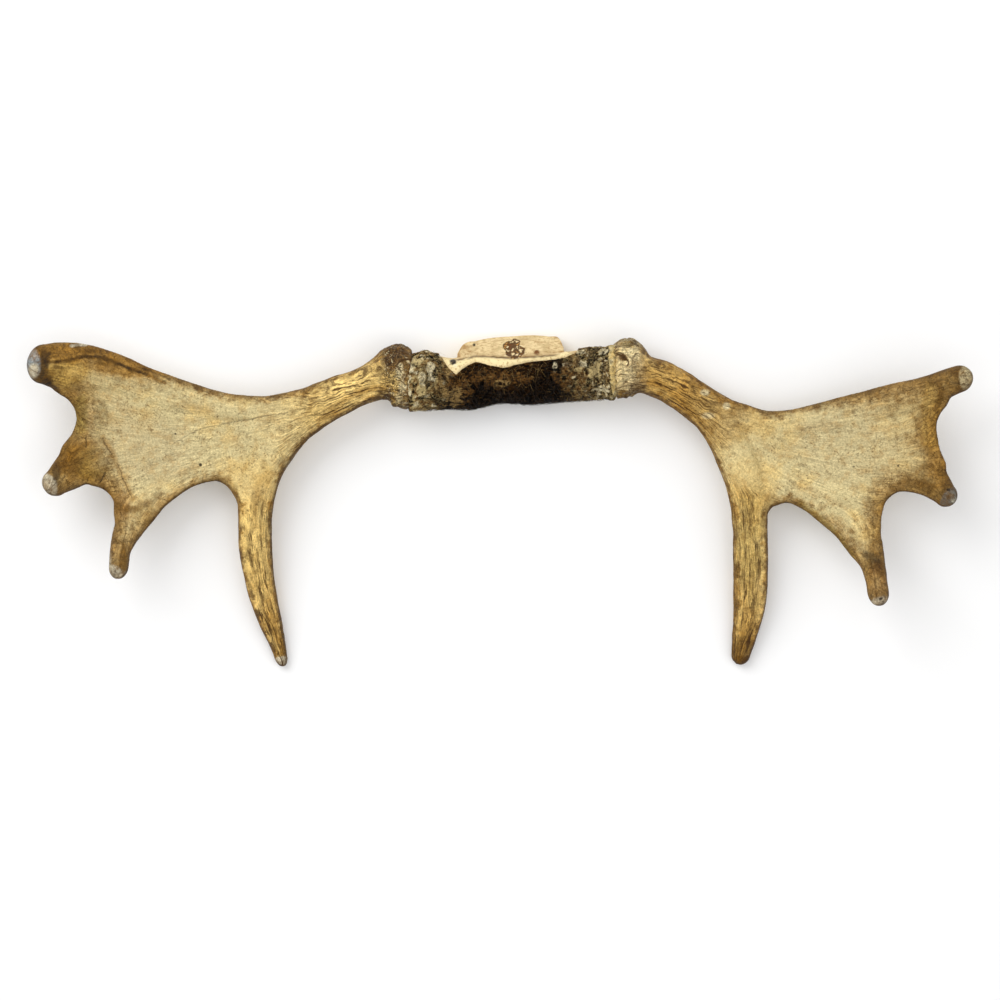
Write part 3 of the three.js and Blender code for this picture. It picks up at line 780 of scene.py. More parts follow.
class Nodes:
    """Short names for building a shader graph. The surface's colour so far is its tint."""

    def __init__(self, name, palette=None):
        self.palette = palette
        self.tint = None
        self.material = bpy.data.materials.new(name)
        self.material.use_nodes = True
        self.tree = self.material.node_tree
        self.tree.nodes.clear()
        self.place = None

    def add(self, kind, inputs=None, **settings):
        node = self.tree.nodes.new("ShaderNode" + kind)
        for key, value in settings.items():
            setattr(node, key, value)
        for key, value in (inputs or {}).items():
            socket = node.inputs[key]
            if isinstance(value, bpy.types.NodeSocket):
                self.tree.links.new(value, socket)
            else:
                socket.default_value = value
        return node

    def coordinates(self):
        if self.place is None:
            self.place = self.add("TexCoord").outputs["Object"]
        return self.place

    def over(self, shade, *shares):
        """Blends a shade over the colour so far, by the product of the shares."""
        self.tint = self.mix(self.product(*shares), self.tint, self.palette[shade])

    def product(self, first, *others):
        for other in others:
            first = self.times(first, other)
        return first

    def vectors(self, operation, a, b):
        """Vector arithmetic. A scale's b is a number, any other's a vector."""
        node = self.add("VectorMath", {0: a, 3 if operation == "SCALE" else 1: b}, operation=operation)
        return node.outputs["Value" if operation in ("DOT_PRODUCT", "DISTANCE") else "Vector"]

    def value(self, name):
        return self.add("Attribute", attribute_name=name).outputs["Fac"]

    def colour(self, name):
        return self.add("Attribute", attribute_name=name).outputs["Color"]

    def math(self, operation, a, b=0.0, clamp=False):
        node = self.add("Math", {0: a, 1: b}, operation=operation)
        node.use_clamp = clamp
        return node.outputs[0]

    def times(self, a, b):
        return self.math("MULTIPLY", a, b)

    def plus(self, a, b):
        return self.math("ADD", a, b)

    def minus(self, a, b, clamp=False):
        return self.math("SUBTRACT", a, b, clamp)

    def vector(self, x, y, z):
        return self.add("CombineXYZ", {"X": x, "Y": y, "Z": z}).outputs[0]

    def noise(self, vector, scale, detail=3.0, roughness=0.5, distortion=0.0):
        inputs = {
            "Vector": vector,
            "Scale": scale,
            "Detail": detail,
            "Roughness": roughness,
            "Distortion": distortion,
        }
        return self.add("TexNoise", inputs).outputs["Fac"]

    def between(self, value, low, high):
        """0 at low and 1 at high, clamped, with soft ends."""
        inputs = {"Value": value, "From Min": low, "From Max": high}
        return self.add("MapRange", inputs, interpolation_type="SMOOTHSTEP").outputs["Result"]

    def mix(self, amount, a, b, blend="MIX"):
        node = self.add("Mix", data_type="RGBA", blend_type=blend)
        for socket, value in ((node.inputs[0], amount), (node.inputs[6], a), (node.inputs[7], b)):
            if isinstance(value, bpy.types.NodeSocket):
                self.tree.links.new(value, socket)
            elif socket.type == "RGBA":
                socket.default_value = (*value[:3], 1)
            else:
                socket.default_value = value
        return node.outputs[2]

    def scaled(self, colour, amount):
        """A colour made lighter or darker."""
        return self.vectors("SCALE", colour, amount)

    def finish(self, colour, roughness, height=None, bump=0.3, reach=0.001, specular=0.5):
        shader = self.add("BsdfPrincipled")
        for socket, value in (("Base Color", colour), ("Roughness", roughness)):
            if isinstance(value, bpy.types.NodeSocket):
                self.tree.links.new(value, shader.inputs[socket])
            else:
                shader.inputs[socket].default_value = value
        shader.inputs["Specular IOR Level"].default_value = specular
        if height is not None:
            relief = self.add("Bump", {"Height": height, "Strength": bump, "Distance": reach})
            self.tree.links.new(relief.outputs[0], shader.inputs["Normal"])
        output = self.add("OutputMaterial")
        self.tree.links.new(shader.outputs[0], output.inputs[0])
        return self.material


def growth_lines(n, across, along, seed, low, high):
    """Lines along the growth, as in along_growth, at full strength where the noise is above high."""
    flow, level, away = (n.value(key) for key in ("Flow", "Level", "Away"))
    wander = n.times(n.noise(n.coordinates(), 130, 2), 0.55)
    total = None
    for k in range(LEVELS):
        at = n.plus(n.times(flow, across * 2.0**k), wander)
        noise = n.noise(n.vector(at, n.times(away, along), seed + 9.7 * k), 1, 3, 0.6, 0.15)
        off = n.math("ABSOLUTE", n.minus(level, float(k)))
        weight = n.minus(1.0, off, clamp=True)
        part = n.times(n.between(noise, low, high), weight)
        total = part if total is None else n.plus(total, part)
    return total


def antler_material(name, palette, marks):
    """Antler: dark wavy lines along the growth, fine specks, pits and cracks over the painted colour."""
    n = Nodes(name, palette)
    place = n.coordinates()
    lines, dirty, rough = (n.value(key) for key in ("Lines", "Dirty", "Rough"))
    coarse = growth_lines(n, 17, 3.6, 0.0, 0.545, 0.615)
    fine = growth_lines(n, 36, 9, 3.0, 0.54, 0.62)
    pale = growth_lines(n, 19, 4, 6.0, 0.48, 0.6)
    n.tint = n.colour("Tint")
    n.over("ochre", n.between(n.noise(place, 120, 4, 0.6), 0.46, 0.66), 0.3)
    lit = n.times(pale, n.plus(n.times(lines, 0.5), 0.12))
    n.tint = n.scaled(n.tint, n.plus(lit, 0.97))
    soil = n.between(n.plus(n.noise(place, 85, 9, 0.78), n.times(dirty, 0.11)), 0.55, 0.65)
    n.over("brown", soil, 0.42)
    vein = n.math("ABSOLUTE", n.minus(n.noise(place, 80, 5, 0.65, 0.7), 0.5))
    vein = n.times(n.between(vein, 0.022, 0.0), dirty)
    n.over("line", vein, 0.65)
    crack = n.times(n.between(n.noise(place, 330, 4, 0.7, 1.5), 0.49, 0.55), rough)
    crumb = n.times(n.between(n.noise(place, 260, 4, 0.7, 1.0), 0.57, 0.62), rough)
    n.over("cream", crumb, 0.75)
    n.over("dark", crack, 0.85)
    n.over("line", coarse, n.times(lines, lines))
    faint = n.times(lines, 0.85)
    n.over("line", fine, faint)
    dots = n.between(n.noise(place, 480, 3, 0.65), 0.56, 0.68)
    specks = n.times(dots, n.between(n.noise(place, 50, 3), 0.36, 0.62))
    n.over("line", specks, 0.55)
    dust = {"Value": n.noise(place, 560, 3, 0.7)}
    dust.update({"From Min": 0.3, "From Max": 0.7, "To Min": 0.7, "To Max": 1.3})
    n.tint = n.scaled(n.tint, n.add("MapRange", dust).outputs["Result"])
    height = n.noise(place, 420, 3, 0.6)
    cuts = ((coarse, lines), (fine, faint), (specks, 0.6), (soil, 0.4), (vein,), (crack, 1.5))
    for cut in cuts:
        height = n.minus(height, n.product(*cut))
    frayed = frayed_place(n)
    for start, end, width, strength in marks:
        darkness = n.times(mark_amount(n, frayed, start, end, width), strength)
        n.over("dark", darkness)
        height = n.minus(height, darkness)
    roughness = n.plus(n.times(n.noise(place, 130, 3), 0.3), 0.4)
    return n.finish(n.tint, roughness, height, 0.6, 0.001, 0.18)


def frayed_place(n):
    """The place in the plan, moved a little this way and that."""
    jitter = n.add("TexNoise", {"Vector": n.coordinates(), "Scale": 180.0, "Detail": 2.0}).outputs["Color"]
    shift = n.vectors("SCALE", n.vectors("SUBTRACT", jitter, (0.5, 0.5, 0.5)), 0.004)
    return n.vectors("MULTIPLY", n.vectors("ADD", n.coordinates(), shift), (1, 1, 0))


def mark_amount(n, place, start, end, width):
    """1 on the straight line from start to end (in the plan, mm) and 0 beyond its width."""
    start, end = np.array(start, float) * MM, np.array(end, float) * MM
    step = (*(end - start), 0)
    gone = n.vectors("SUBTRACT", place, (*start, 0))
    share = n.math("DIVIDE", n.vectors("DOT_PRODUCT", gone, step), float(np.dot(step, step)), clamp=True)
    gap = n.vectors("DISTANCE", gone, n.vectors("SCALE", step, share))
    return n.between(gap, width * MM, width * MM * 0.35)


# ---------------------------------------------------------------- skull and hide


SADDLE_STEPS = 400


def saddle_at(along):
    """The middle (y and z), half depth and half height of the saddle's section at each x."""
    rows = through_rows(SADDLE, SADDLE_STEPS)
    return [np.interp(along, rows[:, 0], column) for column in rows.T[1:]]


def saddle_surface(along, angle):
    """The skull plate's saddle as a surface of two parameters: x along it, and the angle round the upright
    oval section. Returns points and outward directions."""
    y, z, depth, height = saddle_at(along)
    points = np.stack([along, y + depth * np.cos(angle), z + height * np.sin(angle)], axis=-1)
    outward = np.stack([np.zeros_like(angle), np.cos(angle) / depth, np.sin(angle) / height], axis=-1)
    return points, outward / np.linalg.norm(outward, axis=-1, keepdims=True)


def build_skull(palette):
    """Saddle and thick middle block as one skin, sawn flat below and on the slant behind the crest, with a
    bare raised lip, a crack behind it, and the marrow's cells."""
    saddle = limb(SADDLE, steps=160, around=72, upright=True)
    inside = (saddle[:, 0, 0] > SKULL_ENDS[0] - 1) & (saddle[:, 0, 0] < SKULL_ENDS[1] + 1)
    block = limb(BLOCK, steps=80, around=96, squareness=BLOCK_SQUARENESS, upright=True)
    slope = SAW_CUT["z"] - SAW_CUT["drop"] * (block[..., 1] - SAW_CUT["y"])
    block[..., 2] = np.minimum(block[..., 2], slope)
    obj = fused("skull_bone", [saddle[inside], block], SKULL_GRAIN)
    relax(obj.data, SKULL_ROUNDS)
    points, normals = points_of(obj.data), normals_of(obj.data)
    x, y = points[:, 0], points[:, 1]
    top = smooth_step(0.1, 0.4, normals[:, 2])
    edge = np.interp(x, *np.array(HIDE_EDGE).T)
    crack = np.interp(x, *np.array(LIP_CRACK).T) + 0.9 * grain(points / 6, 38)
    share = np.clip((y - edge + 1) / np.maximum(crack - edge + 1, 1), 0, 1)
    on_lip = np.sin(np.pi * share) ** 0.7 * smooth_step(-60, -52, x) * smooth_step(78, 66, x) * top
    lift = 3.0 * on_lip * (1 + 0.35 * grain(points / 8, 31))
    cracked = np.exp(-(((y - crack) / 1.0) ** 2)) * smooth_step(-46, -40, x) * smooth_step(64, 56, x) * top
    cracked *= 0.35 + 0.65 * smooth_step(5, -5, x)
    lift -= 1.8 * cracked
    inside = max_of([radius - np.hypot(x - at_x, y - at_y) for at_x, at_y, radius in MARROW])
    marrow = smooth_step(-0.9, 0.9, inside + 1.6 * rough_grain(points / 5, 32, 2)) * top
    lift -= marrow * (1.3 + 0.9 * rough_grain(points / 3, 33, 2))
    lift += 0.25 * rough_grain(points / 6, 34, 3)
    pores = smooth_step(0.25, 0.6, rough_grain(points / 3.4, 35, 2)) * (points[:, 2] < 0.5)
    points += lift[:, None] * normals
    points[:, 0] = np.clip(points[:, 0], *SKULL_ENDS)
    points[:, 2] = np.maximum(points[:, 2], 0)
    move_points(obj.data, points)
    worn = rough_grain(points / 10, 37, 4)
    stain = smooth_step(9, 0, y - crack) * smooth_step(-0.3, 0.4, rough_grain(points / 12, 36, 3))
    paint = Paint(palette, "bone", len(points))
    paint.coat("bone_shade", smooth_step(-0.05, 0.5, worn) * 0.6)
    paint.coat("stain", stain * 0.5 * top * (on_lip < 0.2))
    ends = np.maximum(smooth_step(44, 60, x), smooth_step(-24, -38, x)) * (on_lip < 0.2)
    paint.coat("stain", ends * smooth_step(-0.1, 0.3, worn) * top * 0.7)
    paint.coat("lip", on_lip * (1 - 0.4 * smooth_step(0.1, 0.6, worn)))
    seam = np.exp(-(((y - crack) / 1.3) ** 2)) * smooth_step(-46, -40, x) * smooth_step(62, 54, x) * top
    paint.coat("umber", 0.9 * seam * smooth_step(-0.7, 0.0, worn))
    paint.coat("dark", cracked)
    for *spot, shade in BONE_SPOTS:
        spot = smooth_step(0.25, 0.6, blob(points[:, :2], *spot) * (1 + 0.5 * worn))
        paint.coat(shade, spot * top)
    paint.coat("marrow", pores * 0.7)
    give_colour(obj.data, paint.colour)
    give_values(obj.data, Sawn=smooth_step(crack, crack + 3, y) * top * (1 - marrow), Marrow=marrow)
    return obj


MARROW_CELL = 4.2


def bone_material(palette):
    """Dry bone: fine pores all over and saw scratches on the cut."""
    n = Nodes("dry_bone", palette)
    place = n.coordinates()
    tilted = n.add("Mapping", {"Vector": place, "Rotation": (0, 0, 0.5), "Scale": (1, 7, 1)}).outputs[0]
    scratch = n.times(n.between(n.noise(tilted, 200, 4, 0.65), 0.5, 0.62), n.value("Sawn"))
    pores = n.between(n.noise(place, 420, 4, 0.65), 0.56, 0.66)
    n.tint = n.colour("Tint")
    n.over("bone_shade", n.between(n.noise(place, 170, 5, 0.7), 0.5, 0.66), 0.5)
    n.over("stain", scratch, 0.55)
    n.over("stain", pores, 0.65)
    height = n.minus(n.minus(n.noise(place, 300, 4), n.times(scratch, 0.7)), pores)
    jitter = n.add("TexNoise", {"Vector": place, "Scale": 260.0, "Detail": 2.0}).outputs["Color"]
    bent = n.vectors("ADD", place, n.vectors("SCALE", jitter, 0.007))
    cells = {"Vector": bent, "Scale": 1 / (MARROW_CELL * MM)}
    gap = n.add("TexVoronoi", cells, feature="DISTANCE_TO_EDGE").outputs["Distance"]
    tone = n.add("TexVoronoi", cells).outputs["Color"]
    wall = n.between(gap, 0.24, 0.1)
    marrow = n.value("Marrow")
    hollow = n.mix(n.between(tone, 0.66, 0.72), palette["rust"], palette["bone"])
    hollow = n.mix(n.between(tone, 0.44, 0.38), hollow, palette["marrow"])
    rim = n.between(marrow, 0.85, 0.5)
    hollow = n.mix(n.math("MAXIMUM", wall, rim), hollow, palette["umber"])
    amount = n.between(n.plus(marrow, n.times(n.noise(place, 300, 3), 0.5)), 0.42, 0.58)
    height = n.minus(height, n.times(n.minus(1.0, wall), amount))
    return n.finish(n.mix(amount, n.tint, hollow), 0.62, height, 0.5, 0.0006, 0.3)


HIDE_FRONT_ANGLE = math.radians(216)
HIDE_ENDS = (-95, 118.5)
# Where the skin gives way to bare pedicle at the right end: a thin dark bowed line.
HIDE_RIM = dict(x=107.5, y=12, bow=0.006)
HIDE_GRID = (380, 112)
# How far the hide's lower side keeps from the bone.
CLEAR_OF_BONE = 0.3
# Bare or lighter spots on the hide: x, y, radius, stretch, shade.
HIDE_SPOTS = [
    (55, 7, 3.2, (0.8, 1.7), "flake"), (66, 9, 3.0, (1.8, 0.8), "flake"),
    (61, -2, 3.0, (1.0, 0.8), "hide_tan"), (84, 10, 5.0, (1.4, 0.8), "flake"),
    (100, -13, 5.5, (1.5, 0.7), "flake"), (97, 6, 7.0, (1.0, 1.6), "crust"),
    (-5, -3, 13.0, (2.4, 0.7), "hide_warm"), (4, -8, 6.0, (1.6, 0.6), "hide_tan"),
    (20, -4, 8.0, (1.8, 0.6), "hide_warm"), (72, -2, 18.0, (1.2, 0.8), "hide_warm"),
    (-42, -12, 15, (1.0, 1.2), "hide_warm"), (-48, -20, 10, (1.4, 1.0), "hide_tan"),
    (-70, 4, 6.0, (0.8, 1.3), "flake"), (-90, 5, 5.0, (1.2, 1.2), "flake"),
    (-77, -2, 7.0, (0.9, 1.2), "crust"), (-77, -2, 4.5, (1.0, 1.2), "flake"),
    (-77, -14.5, 6.5, (1.3, 0.9), "crust"), (-86, 11.5, 4.0, (1.0, 1.0), "flake"),
    (-84, 8, 3.5, (1.4, 0.7), "hide"), (-91, -17, 3.5, (1.0, 1.0), "flake"),
    (-70, -22, 5.0, (2.5, 0.6), "hide"), (-58, -8, 5.0, (0.6, 1.8), "hide_tan"),
    (-52, 2, 4.0, (0.7, 1.8), "hide_tan"), (81, 21, 4.0, (1.2, 0.8), "flake"),
    (75, -3, 3.0, (1.0, 1.0), "flake"), (78, 5, 3.5, (1.4, 0.7), "crust"),
    (103, 21, 5.0, (1.0, 1.0), "flake"), (91, 2, 5.0, (0.8, 1.8), "crust"),
    (-94, 8, 4.0, (1.0, 1.3), "flake"), (-68, 7, 4.0, (1.0, 1.0), "flake"),
    (-65, 0, 3.5, (0.9, 1.3), "hide"), (-82, 12, 5.0, (1.4, 0.8), "crust"),
]


def hide_zones(along, share):
    """How much each place belongs to the bare left and right ends, and how dark the matted middle is."""
    left = smooth_step(-42, -62, along + 14 * share)
    right = smooth_step(52, 80, along - 10 * share)
    brown = smooth_step(0.42, 0.12, share - 0.12 * np.sin(along / 11)) * smooth_step(62, 25, along)
    return left, right, brown


def build_hide(settings, palette):
    """A dried skin over the saddle. Its upper surface is the saddle moved outwards by the skin's thickness
    and matted relief, its lower one the saddle just clear of the bone; the two meet in a ragged edge."""
    columns, rows = HIDE_GRID
    along = np.linspace(*HIDE_ENDS, columns)[:, None] * np.ones(rows)
    share = np.linspace(0, 1, rows) * np.ones((columns, 1))
    y, _, depth, _ = saddle_at(along)
    edge = np.interp(along, *np.array(HIDE_EDGE).T)
    still = np.zeros(columns)
    fray = rough_grain(np.stack([along[:, 0] / 6, still, still], axis=1), 43, 3)[:, None]
    rear = np.arccos(np.clip((edge + 1.6 * fray - y) / depth, -1, 1))
    rear -= 0.5 * smooth_step(-1, 3, edge - y - depth)
    angle = rear + (HIDE_FRONT_ANGLE + 0.05 * fray - rear) * share
    points, outward = saddle_surface(along, angle)
    left, right, brown = (zone.ravel() for zone in hide_zones(along, share))
    spot = points.reshape(-1, 3)
    lump = rough_grain(spot / 15, 41, 3)
    matted = rough_grain(spot / (7, 4, 4), 42, 4)
    ends = np.maximum(left, right)
    crust = rough_grain(spot / 7, 44, 3)
    relief = 0.5 + 0.3 * lump + 0.32 * matted * (1 - ends) + 0.6 * crust * ends
    thin = np.minimum(smooth_step(0, 0.05, share), smooth_step(1, 0.96, share))
    past = np.maximum(SKULL_ENDS[0] - along, along - SKULL_ENDS[1])
    ragged = past + 4 * rough_grain(spot / 9, 47, 3).reshape(along.shape)
    swell = smooth_step(-7, -1, past) * smooth_step(5, 2, ragged)
    height = thin * np.maximum(settings.hide_thickness / MM * relief.reshape(along.shape), 0.3)
    height += thin * 1.6 * swell - 3.2 * smooth_step(2.5, 5.5, np.maximum(ragged, past - 1))
    upper = points + outward * (CLEAR_OF_BONE + 0.05 + height)[..., None]
    lower = points + outward * (CLEAR_OF_BONE - 4 * smooth_step(-1, 1, past))[..., None]
    upper_index = np.arange(columns * rows).reshape(columns, rows)
    lower_index = upper_index + columns * rows

    def quads(index):
        corners = [index[:-1, 1:], index[1:, 1:], index[1:, :-1], index[:-1, :-1]]
        return np.stack(corners, axis=-1).reshape(-1, 4)

    def wall(top, bottom):
        return np.stack([top[:-1], bottom[:-1], bottom[1:], top[1:]], axis=-1)

    faces = np.concatenate(
        [
            quads(upper_index),
            quads(lower_index)[:, ::-1],
            wall(upper_index[:, 0], lower_index[:, 0])[:, ::-1],
            wall(upper_index[:, -1], lower_index[:, -1]),
            wall(upper_index[0], lower_index[0]),
            wall(upper_index[-1], lower_index[-1])[:, ::-1],
        ]
    )
    both = np.concatenate([upper.reshape(-1, 3), lower.reshape(-1, 3)])
    obj = mesh_object("hide_skin", both, faces.tolist())
    flaky = rough_grain(spot / 6.5, 45, 3)
    swirl = spot + 7 * np.stack([grain(spot / 13, seed) for seed in (51, 52, 53)], axis=1)
    leaning = swirl @ np.array([(0.8, -0.6, 0), (0.6, 0.8, 0), (0, 0, 1)])
    streaky = rough_grain(swirl / (8, 2.2, 3), 46, 3)
    paint = Paint(palette, "hide", len(spot))
    paint.coat("hide_brown", brown * smooth_step(-0.5, 0.3, streaky))
    paint.coat("hide_brown", smooth_step(0.1, 0.5, streaky) * 0.5)
    paint.coat("hide_tan", brown * smooth_step(0.25, 0.6, matted) * 0.7)
    paint.coat("hide_brown", right * smooth_step(-0.6, 0.1, crust))
    paint.coat("hide_tan", right * smooth_step(-0.15, 0.3, streaky) * 0.8)
    outer = smooth_step(78, 100, spot[:, 0])
    paint.coat("crust", right * smooth_step(0.1, 0.4, matted) * outer * 0.8)
    wide = rough_grain(spot / 9, 49, 2)
    paint.coat("hide_warm", left * smooth_step(-0.6, -0.1, crust))
    paint.coat("hide_tan", left * smooth_step(-0.05, 0.2, streaky) * 0.85)
    paint.coat("crust", left * smooth_step(0.12, 0.28, flaky) * 0.7)
    paint.coat("flake", left * smooth_step(0.15, 0.23, wide))
    upright = rough_grain(leaning / (2.4, 8, 8), 50, 3)
    streaked = right * smooth_step(84, 100, spot[:, 0])
    paint.coat("flake", streaked * smooth_step(0.1, 0.3, upright) * 0.75)
    paint.coat("flake", right * smooth_step(0.3, 0.42, flaky) * smooth_step(0.85, 0.5, share.ravel()))
    paint.coat("hide", ends * smooth_step(-0.06, -0.2, crust) * 0.95)
    paint.coat("hide", streaked * smooth_step(-0.1, -0.3, upright) * 0.9)
    rim_x = HIDE_RIM["x"] + HIDE_RIM["bow"] * (spot[:, 1] - HIDE_RIM["y"]) ** 2 + 3 * crust
    bare = smooth_step(rim_x - 0.3, rim_x + 0.5, spot[:, 0])
    paint.coat("cream", bare)
    paint.coat("tan", bare * smooth_step(-0.4, 0.1, flaky) * 0.8)
    paint.coat("dark", bare * smooth_step(0.1, 0.3, rough_grain(spot / 3.2, 48, 3)) * 0.7)
    paint.coat("hide", smooth_step(1.0, 0.4, np.abs(spot[:, 0] - rim_x)) * 0.85)
    broken = 0.8 + 1.2 * crust + matted + 0.8 * streaky
    for *patch, shade in HIDE_SPOTS:
        near = smooth_step(0.3, 0.55, blob(spot[:, :2], *patch) * broken)
        paint.coat(shade, near * 0.9)
    paint.coat("hide", smooth_step(0.7, 0.95, share.ravel()) * (1 - 0.6 * left) * 0.8)
    give_colour(obj.data, np.concatenate([paint.colour, paint.colour]))
    give_values(obj.data, Ends=np.concatenate([ends, ends]))
    return obj


def hide_material(palette):
    """Dried hide: dark, matted, with fine lighter streaks."""
    n = Nodes("dried_hide", palette)
    place = n.coordinates()
    drawn = n.add("Mapping", {"Vector": place, "Rotation": (0, 0, 0.35), "Scale": (1, 4, 2)}).outputs[0]
    laid = n.add("Mapping", {"Vector": place, "Rotation": (0, 0, 0.9), "Scale": (1, 5, 2)}).outputs[0]
    streak = n.noise(drawn, 210, 4, 0.7, 0.9)
    strand = n.noise(laid, 170, 4, 0.65, 1.2)
    curl = n.noise(place, 200, 4, 0.6, 2.2)
    ends = n.value("Ends")
    n.tint = n.colour("Tint")
    n.over("hide_brown", n.between(streak, 0.55, 0.66), 0.55)
    n.over("hide_tan", n.between(streak, 0.61, 0.68), 0.7)
    n.over("crust", n.between(strand, 0.54, 0.62), ends, 0.55)
    n.over("hide", n.between(strand, 0.45, 0.38), ends, 0.55)
    n.over("hide", n.between(streak, 0.5, 0.4), n.minus(1.0, n.times(ends, 0.75)))
    n.over("crust", n.between(curl, 0.56, 0.62), ends, 0.6)
    pits = n.between(n.noise(place, 330, 3), 0.54, 0.64)
    n.over("hide", pits, n.minus(0.8, n.times(ends, 0.6)))
    height = n.minus(n.plus(streak, n.times(curl, 0.8)), pits)
    return n.finish(n.tint, 0.85, height, 0.9, 0.001, 0.03)


HAIR_SEED = 7
HAIR_ROOTS = (-84, 104)
HAIR_STEPS = 5
# The saddle's mean radius, which turns a hair's length into an angle.
SADDLE_RADIUS = 26


def build_hair(settings, palette):
    """Hairs lying on the hide. Each is a three-sided spike carried along a path that leaves the skin, runs
    with the lie of the coat and droops back to it: root + length * t * lie + rise * 4 t (1 - t) * outward.
    """
    rng = np.random.default_rng(HAIR_SEED)
    count = settings.hair_count
    where = rng.uniform(*HAIR_ROOTS, count)
    y, _, depth, _ = saddle_at(where)
    edge = np.interp(where, *np.array(HIDE_EDGE).T) - 1
    rear = np.arccos(np.clip((edge - y) / depth, -1, 1))
    angle = rear + (HIDE_FRONT_ANGLE - 0.2 - rear) * rng.uniform(0, 1, count) ** 0.9
    length = settings.hair_length / MM * rng.uniform(0.4, 1.3, count)
    slant = rng.normal(0, 0.7, count)
    t = np.linspace(0, 1, HAIR_STEPS)[:, None]
    reach_angle = length * np.cos(slant) / SADDLE_RADIUS
    reach_x = length * np.sin(slant)
    path_x = np.clip(where + t * reach_x, SKULL_ENDS[0] + 1, SKULL_ENDS[1] - 1)
    path_angle = np.minimum(angle + t * reach_angle, HIDE_FRONT_ANGLE + 0.02)
    skin_points, outward = saddle_surface(path_x, path_angle)
    rise = rng.uniform(0.6, 2.0, count)
    lift = 1.6 + rise * 4 * t * (1 - t) - 0.4 * (t == 0)
    path = skin_points + outward * lift[..., None]
    radius = rng.uniform(0.1, 0.22, count) * (1 - 0.8 * t)
    along = np.gradient(path, axis=0)
    along /= np.linalg.norm(along, axis=-1, keepdims=True)
    side = np.cross(along, outward)
    side /= np.linalg.norm(side, axis=-1, keepdims=True)
    over = np.cross(side, along)
    turn = np.array([0, 2, 4]) * np.pi / 3
    ring = (
        path[:, :, None]
        + (radius[..., None] * np.cos(turn))[..., None] * side[:, :, None]
        + (radius[..., None] * np.sin(turn))[..., None] * over[:, :, None]
    )
    points = ring.transpose(1, 0, 2, 3).reshape(-1, 3)
    levels = len(t)
    base = (np.arange(count) * levels * 3)[:, None, None]
    level = (np.arange(levels - 1) * 3)[None, :, None]
    corner = np.arange(3)[None, None]
    a = base + level + corner
    b = base + level + (corner + 1) % 3
    sides = np.stack([a, a + 3, b + 3, b], axis=-1).reshape(-1, 4)
    ends = np.concatenate([base[:, 0] + [0, 1, 2], base[:, 0] + 3 * (levels - 1) + [2, 1, 0]])
    obj = mesh_object("hide_hair", points, sides.tolist() + ends.tolist())
    left, right, brown = hide_zones(where, (angle - rear) / (HIDE_FRONT_ANGLE - rear))
    pale = rng.uniform(0, 1, count) + 0.25 * np.maximum(brown, np.maximum(left, right))
    paint = Paint(palette, "hair", count)
    paint.coat("hide_brown", (pale > 0.75) * 0.9)
    paint.coat("hair_pale", (pale > 1.0) * 0.9)
    give_colour(obj.data, np.repeat(paint.colour, levels * 3, axis=0))
    return obj


def hair_material():
    """Coarse hair: takes each strand's own colour."""
    n = Nodes("coarse_hair")
    tone = n.noise(n.coordinates(), 500, 2)
    colour = n.mix(n.times(tone, 0.5), n.colour("Tint"), (0.01, 0.007, 0.004))
    return n.finish(colour, 0.5, specular=0.2)


# ---------------------------------------------------------------- settings


class MooseRackSettings(bpy.types.PropertyGroup):
    """Sizes and colours that a user can change before building."""

    skin_grain: FloatProperty(
        name="Skin Grain", description="Size of the quads in an antler's skin", default=1.35 * MM,
        min=0.0008, unit="LENGTH",
    )
    furrow_depth: FloatProperty(
        name="Furrow Depth", description="Depth of the furrows along a beam", default=1.0 * MM, unit="LENGTH"
    )
    pearl_height: FloatProperty(
        name="Pearl Height", description="Height of the pearls on a burr", default=2.6 * MM, unit="LENGTH"
    )
    hide_thickness: FloatProperty(
        name="Hide Thickness", description="Mean thickness of the dried hide", default=3.0 * MM, unit="LENGTH"
    )
    hair_length: FloatProperty(
        name="Hair Length", description="Mean length of a hair", default=11 * MM, unit="LENGTH"
    )
    hair_count: IntProperty(name="Hair Count", description="Number of hairs", default=2600, min=0)
    palm_colour: FloatVectorProperty(
        name="Palm", description="Worn palm", subtype="COLOR", size=3, default=tuple(linear("C6B685"))
    )
    tan_colour: FloatVectorProperty(
        name="Tan", description="Beams and tines", subtype="COLOR", size=3, default=tuple(linear("DAB76B"))
    )
    ochre_colour: FloatVectorProperty(
        name="Ochre", description="Stained edges", subtype="COLOR", size=3, default=tuple(linear("97691A"))
    )
    line_colour: FloatVectorProperty(
        name="Lines", description="Lines and specks", subtype="COLOR", size=3, default=tuple(linear("432802"))
    )
    bone_colour: FloatVectorProperty(
        name="Bone", description="Sawn bone", subtype="COLOR", size=3, default=tuple(linear("E6CE9B"))
    )
    hide_colour: FloatVectorProperty(
        name="Hide", description="Dried hide", subtype="COLOR", size=3, default=tuple(linear("020101"))
    )
    floor_colour: FloatVectorProperty(
        name="Floor", description="Plain ground", subtype="COLOR", size=3, default=(0.9, 0.9, 0.9)
    )


def palette_of(settings):
    """The colours the user can change, and those that go with them."""
    chosen = {key: np.array(getattr(settings, key + "_colour")) for key in CHOSEN_SHADES}
    return chosen | {key: linear(text) for key, text in SHADES.items()}


CHOSEN_SHADES = ("palm", "tan", "ochre", "line", "bone", "hide")
SHADES = dict(
    brown="60410C", umber="5A3E1C", dark="1E1409", pale="E0CE98", cream="E3D3A4", gold="AD8A40",
    olive="8B7638", grey="B5A67E", red="84541E", tip_blue="8A969A", tip_pale="C9BEA2", tip_grey="6E6A60",
    tip_white="CFCBB4", bone_shade="BFA673", lip="F0DCA6", stain="9A6A2A", marrow="6A3C12", rust="C08B46",
    hide_brown="452C12", hide_warm="674824", hide_tan="9E8150", crust="C6B07A", flake="EBDDB4", hair="120C06",
    hair_pale="A58752",
)


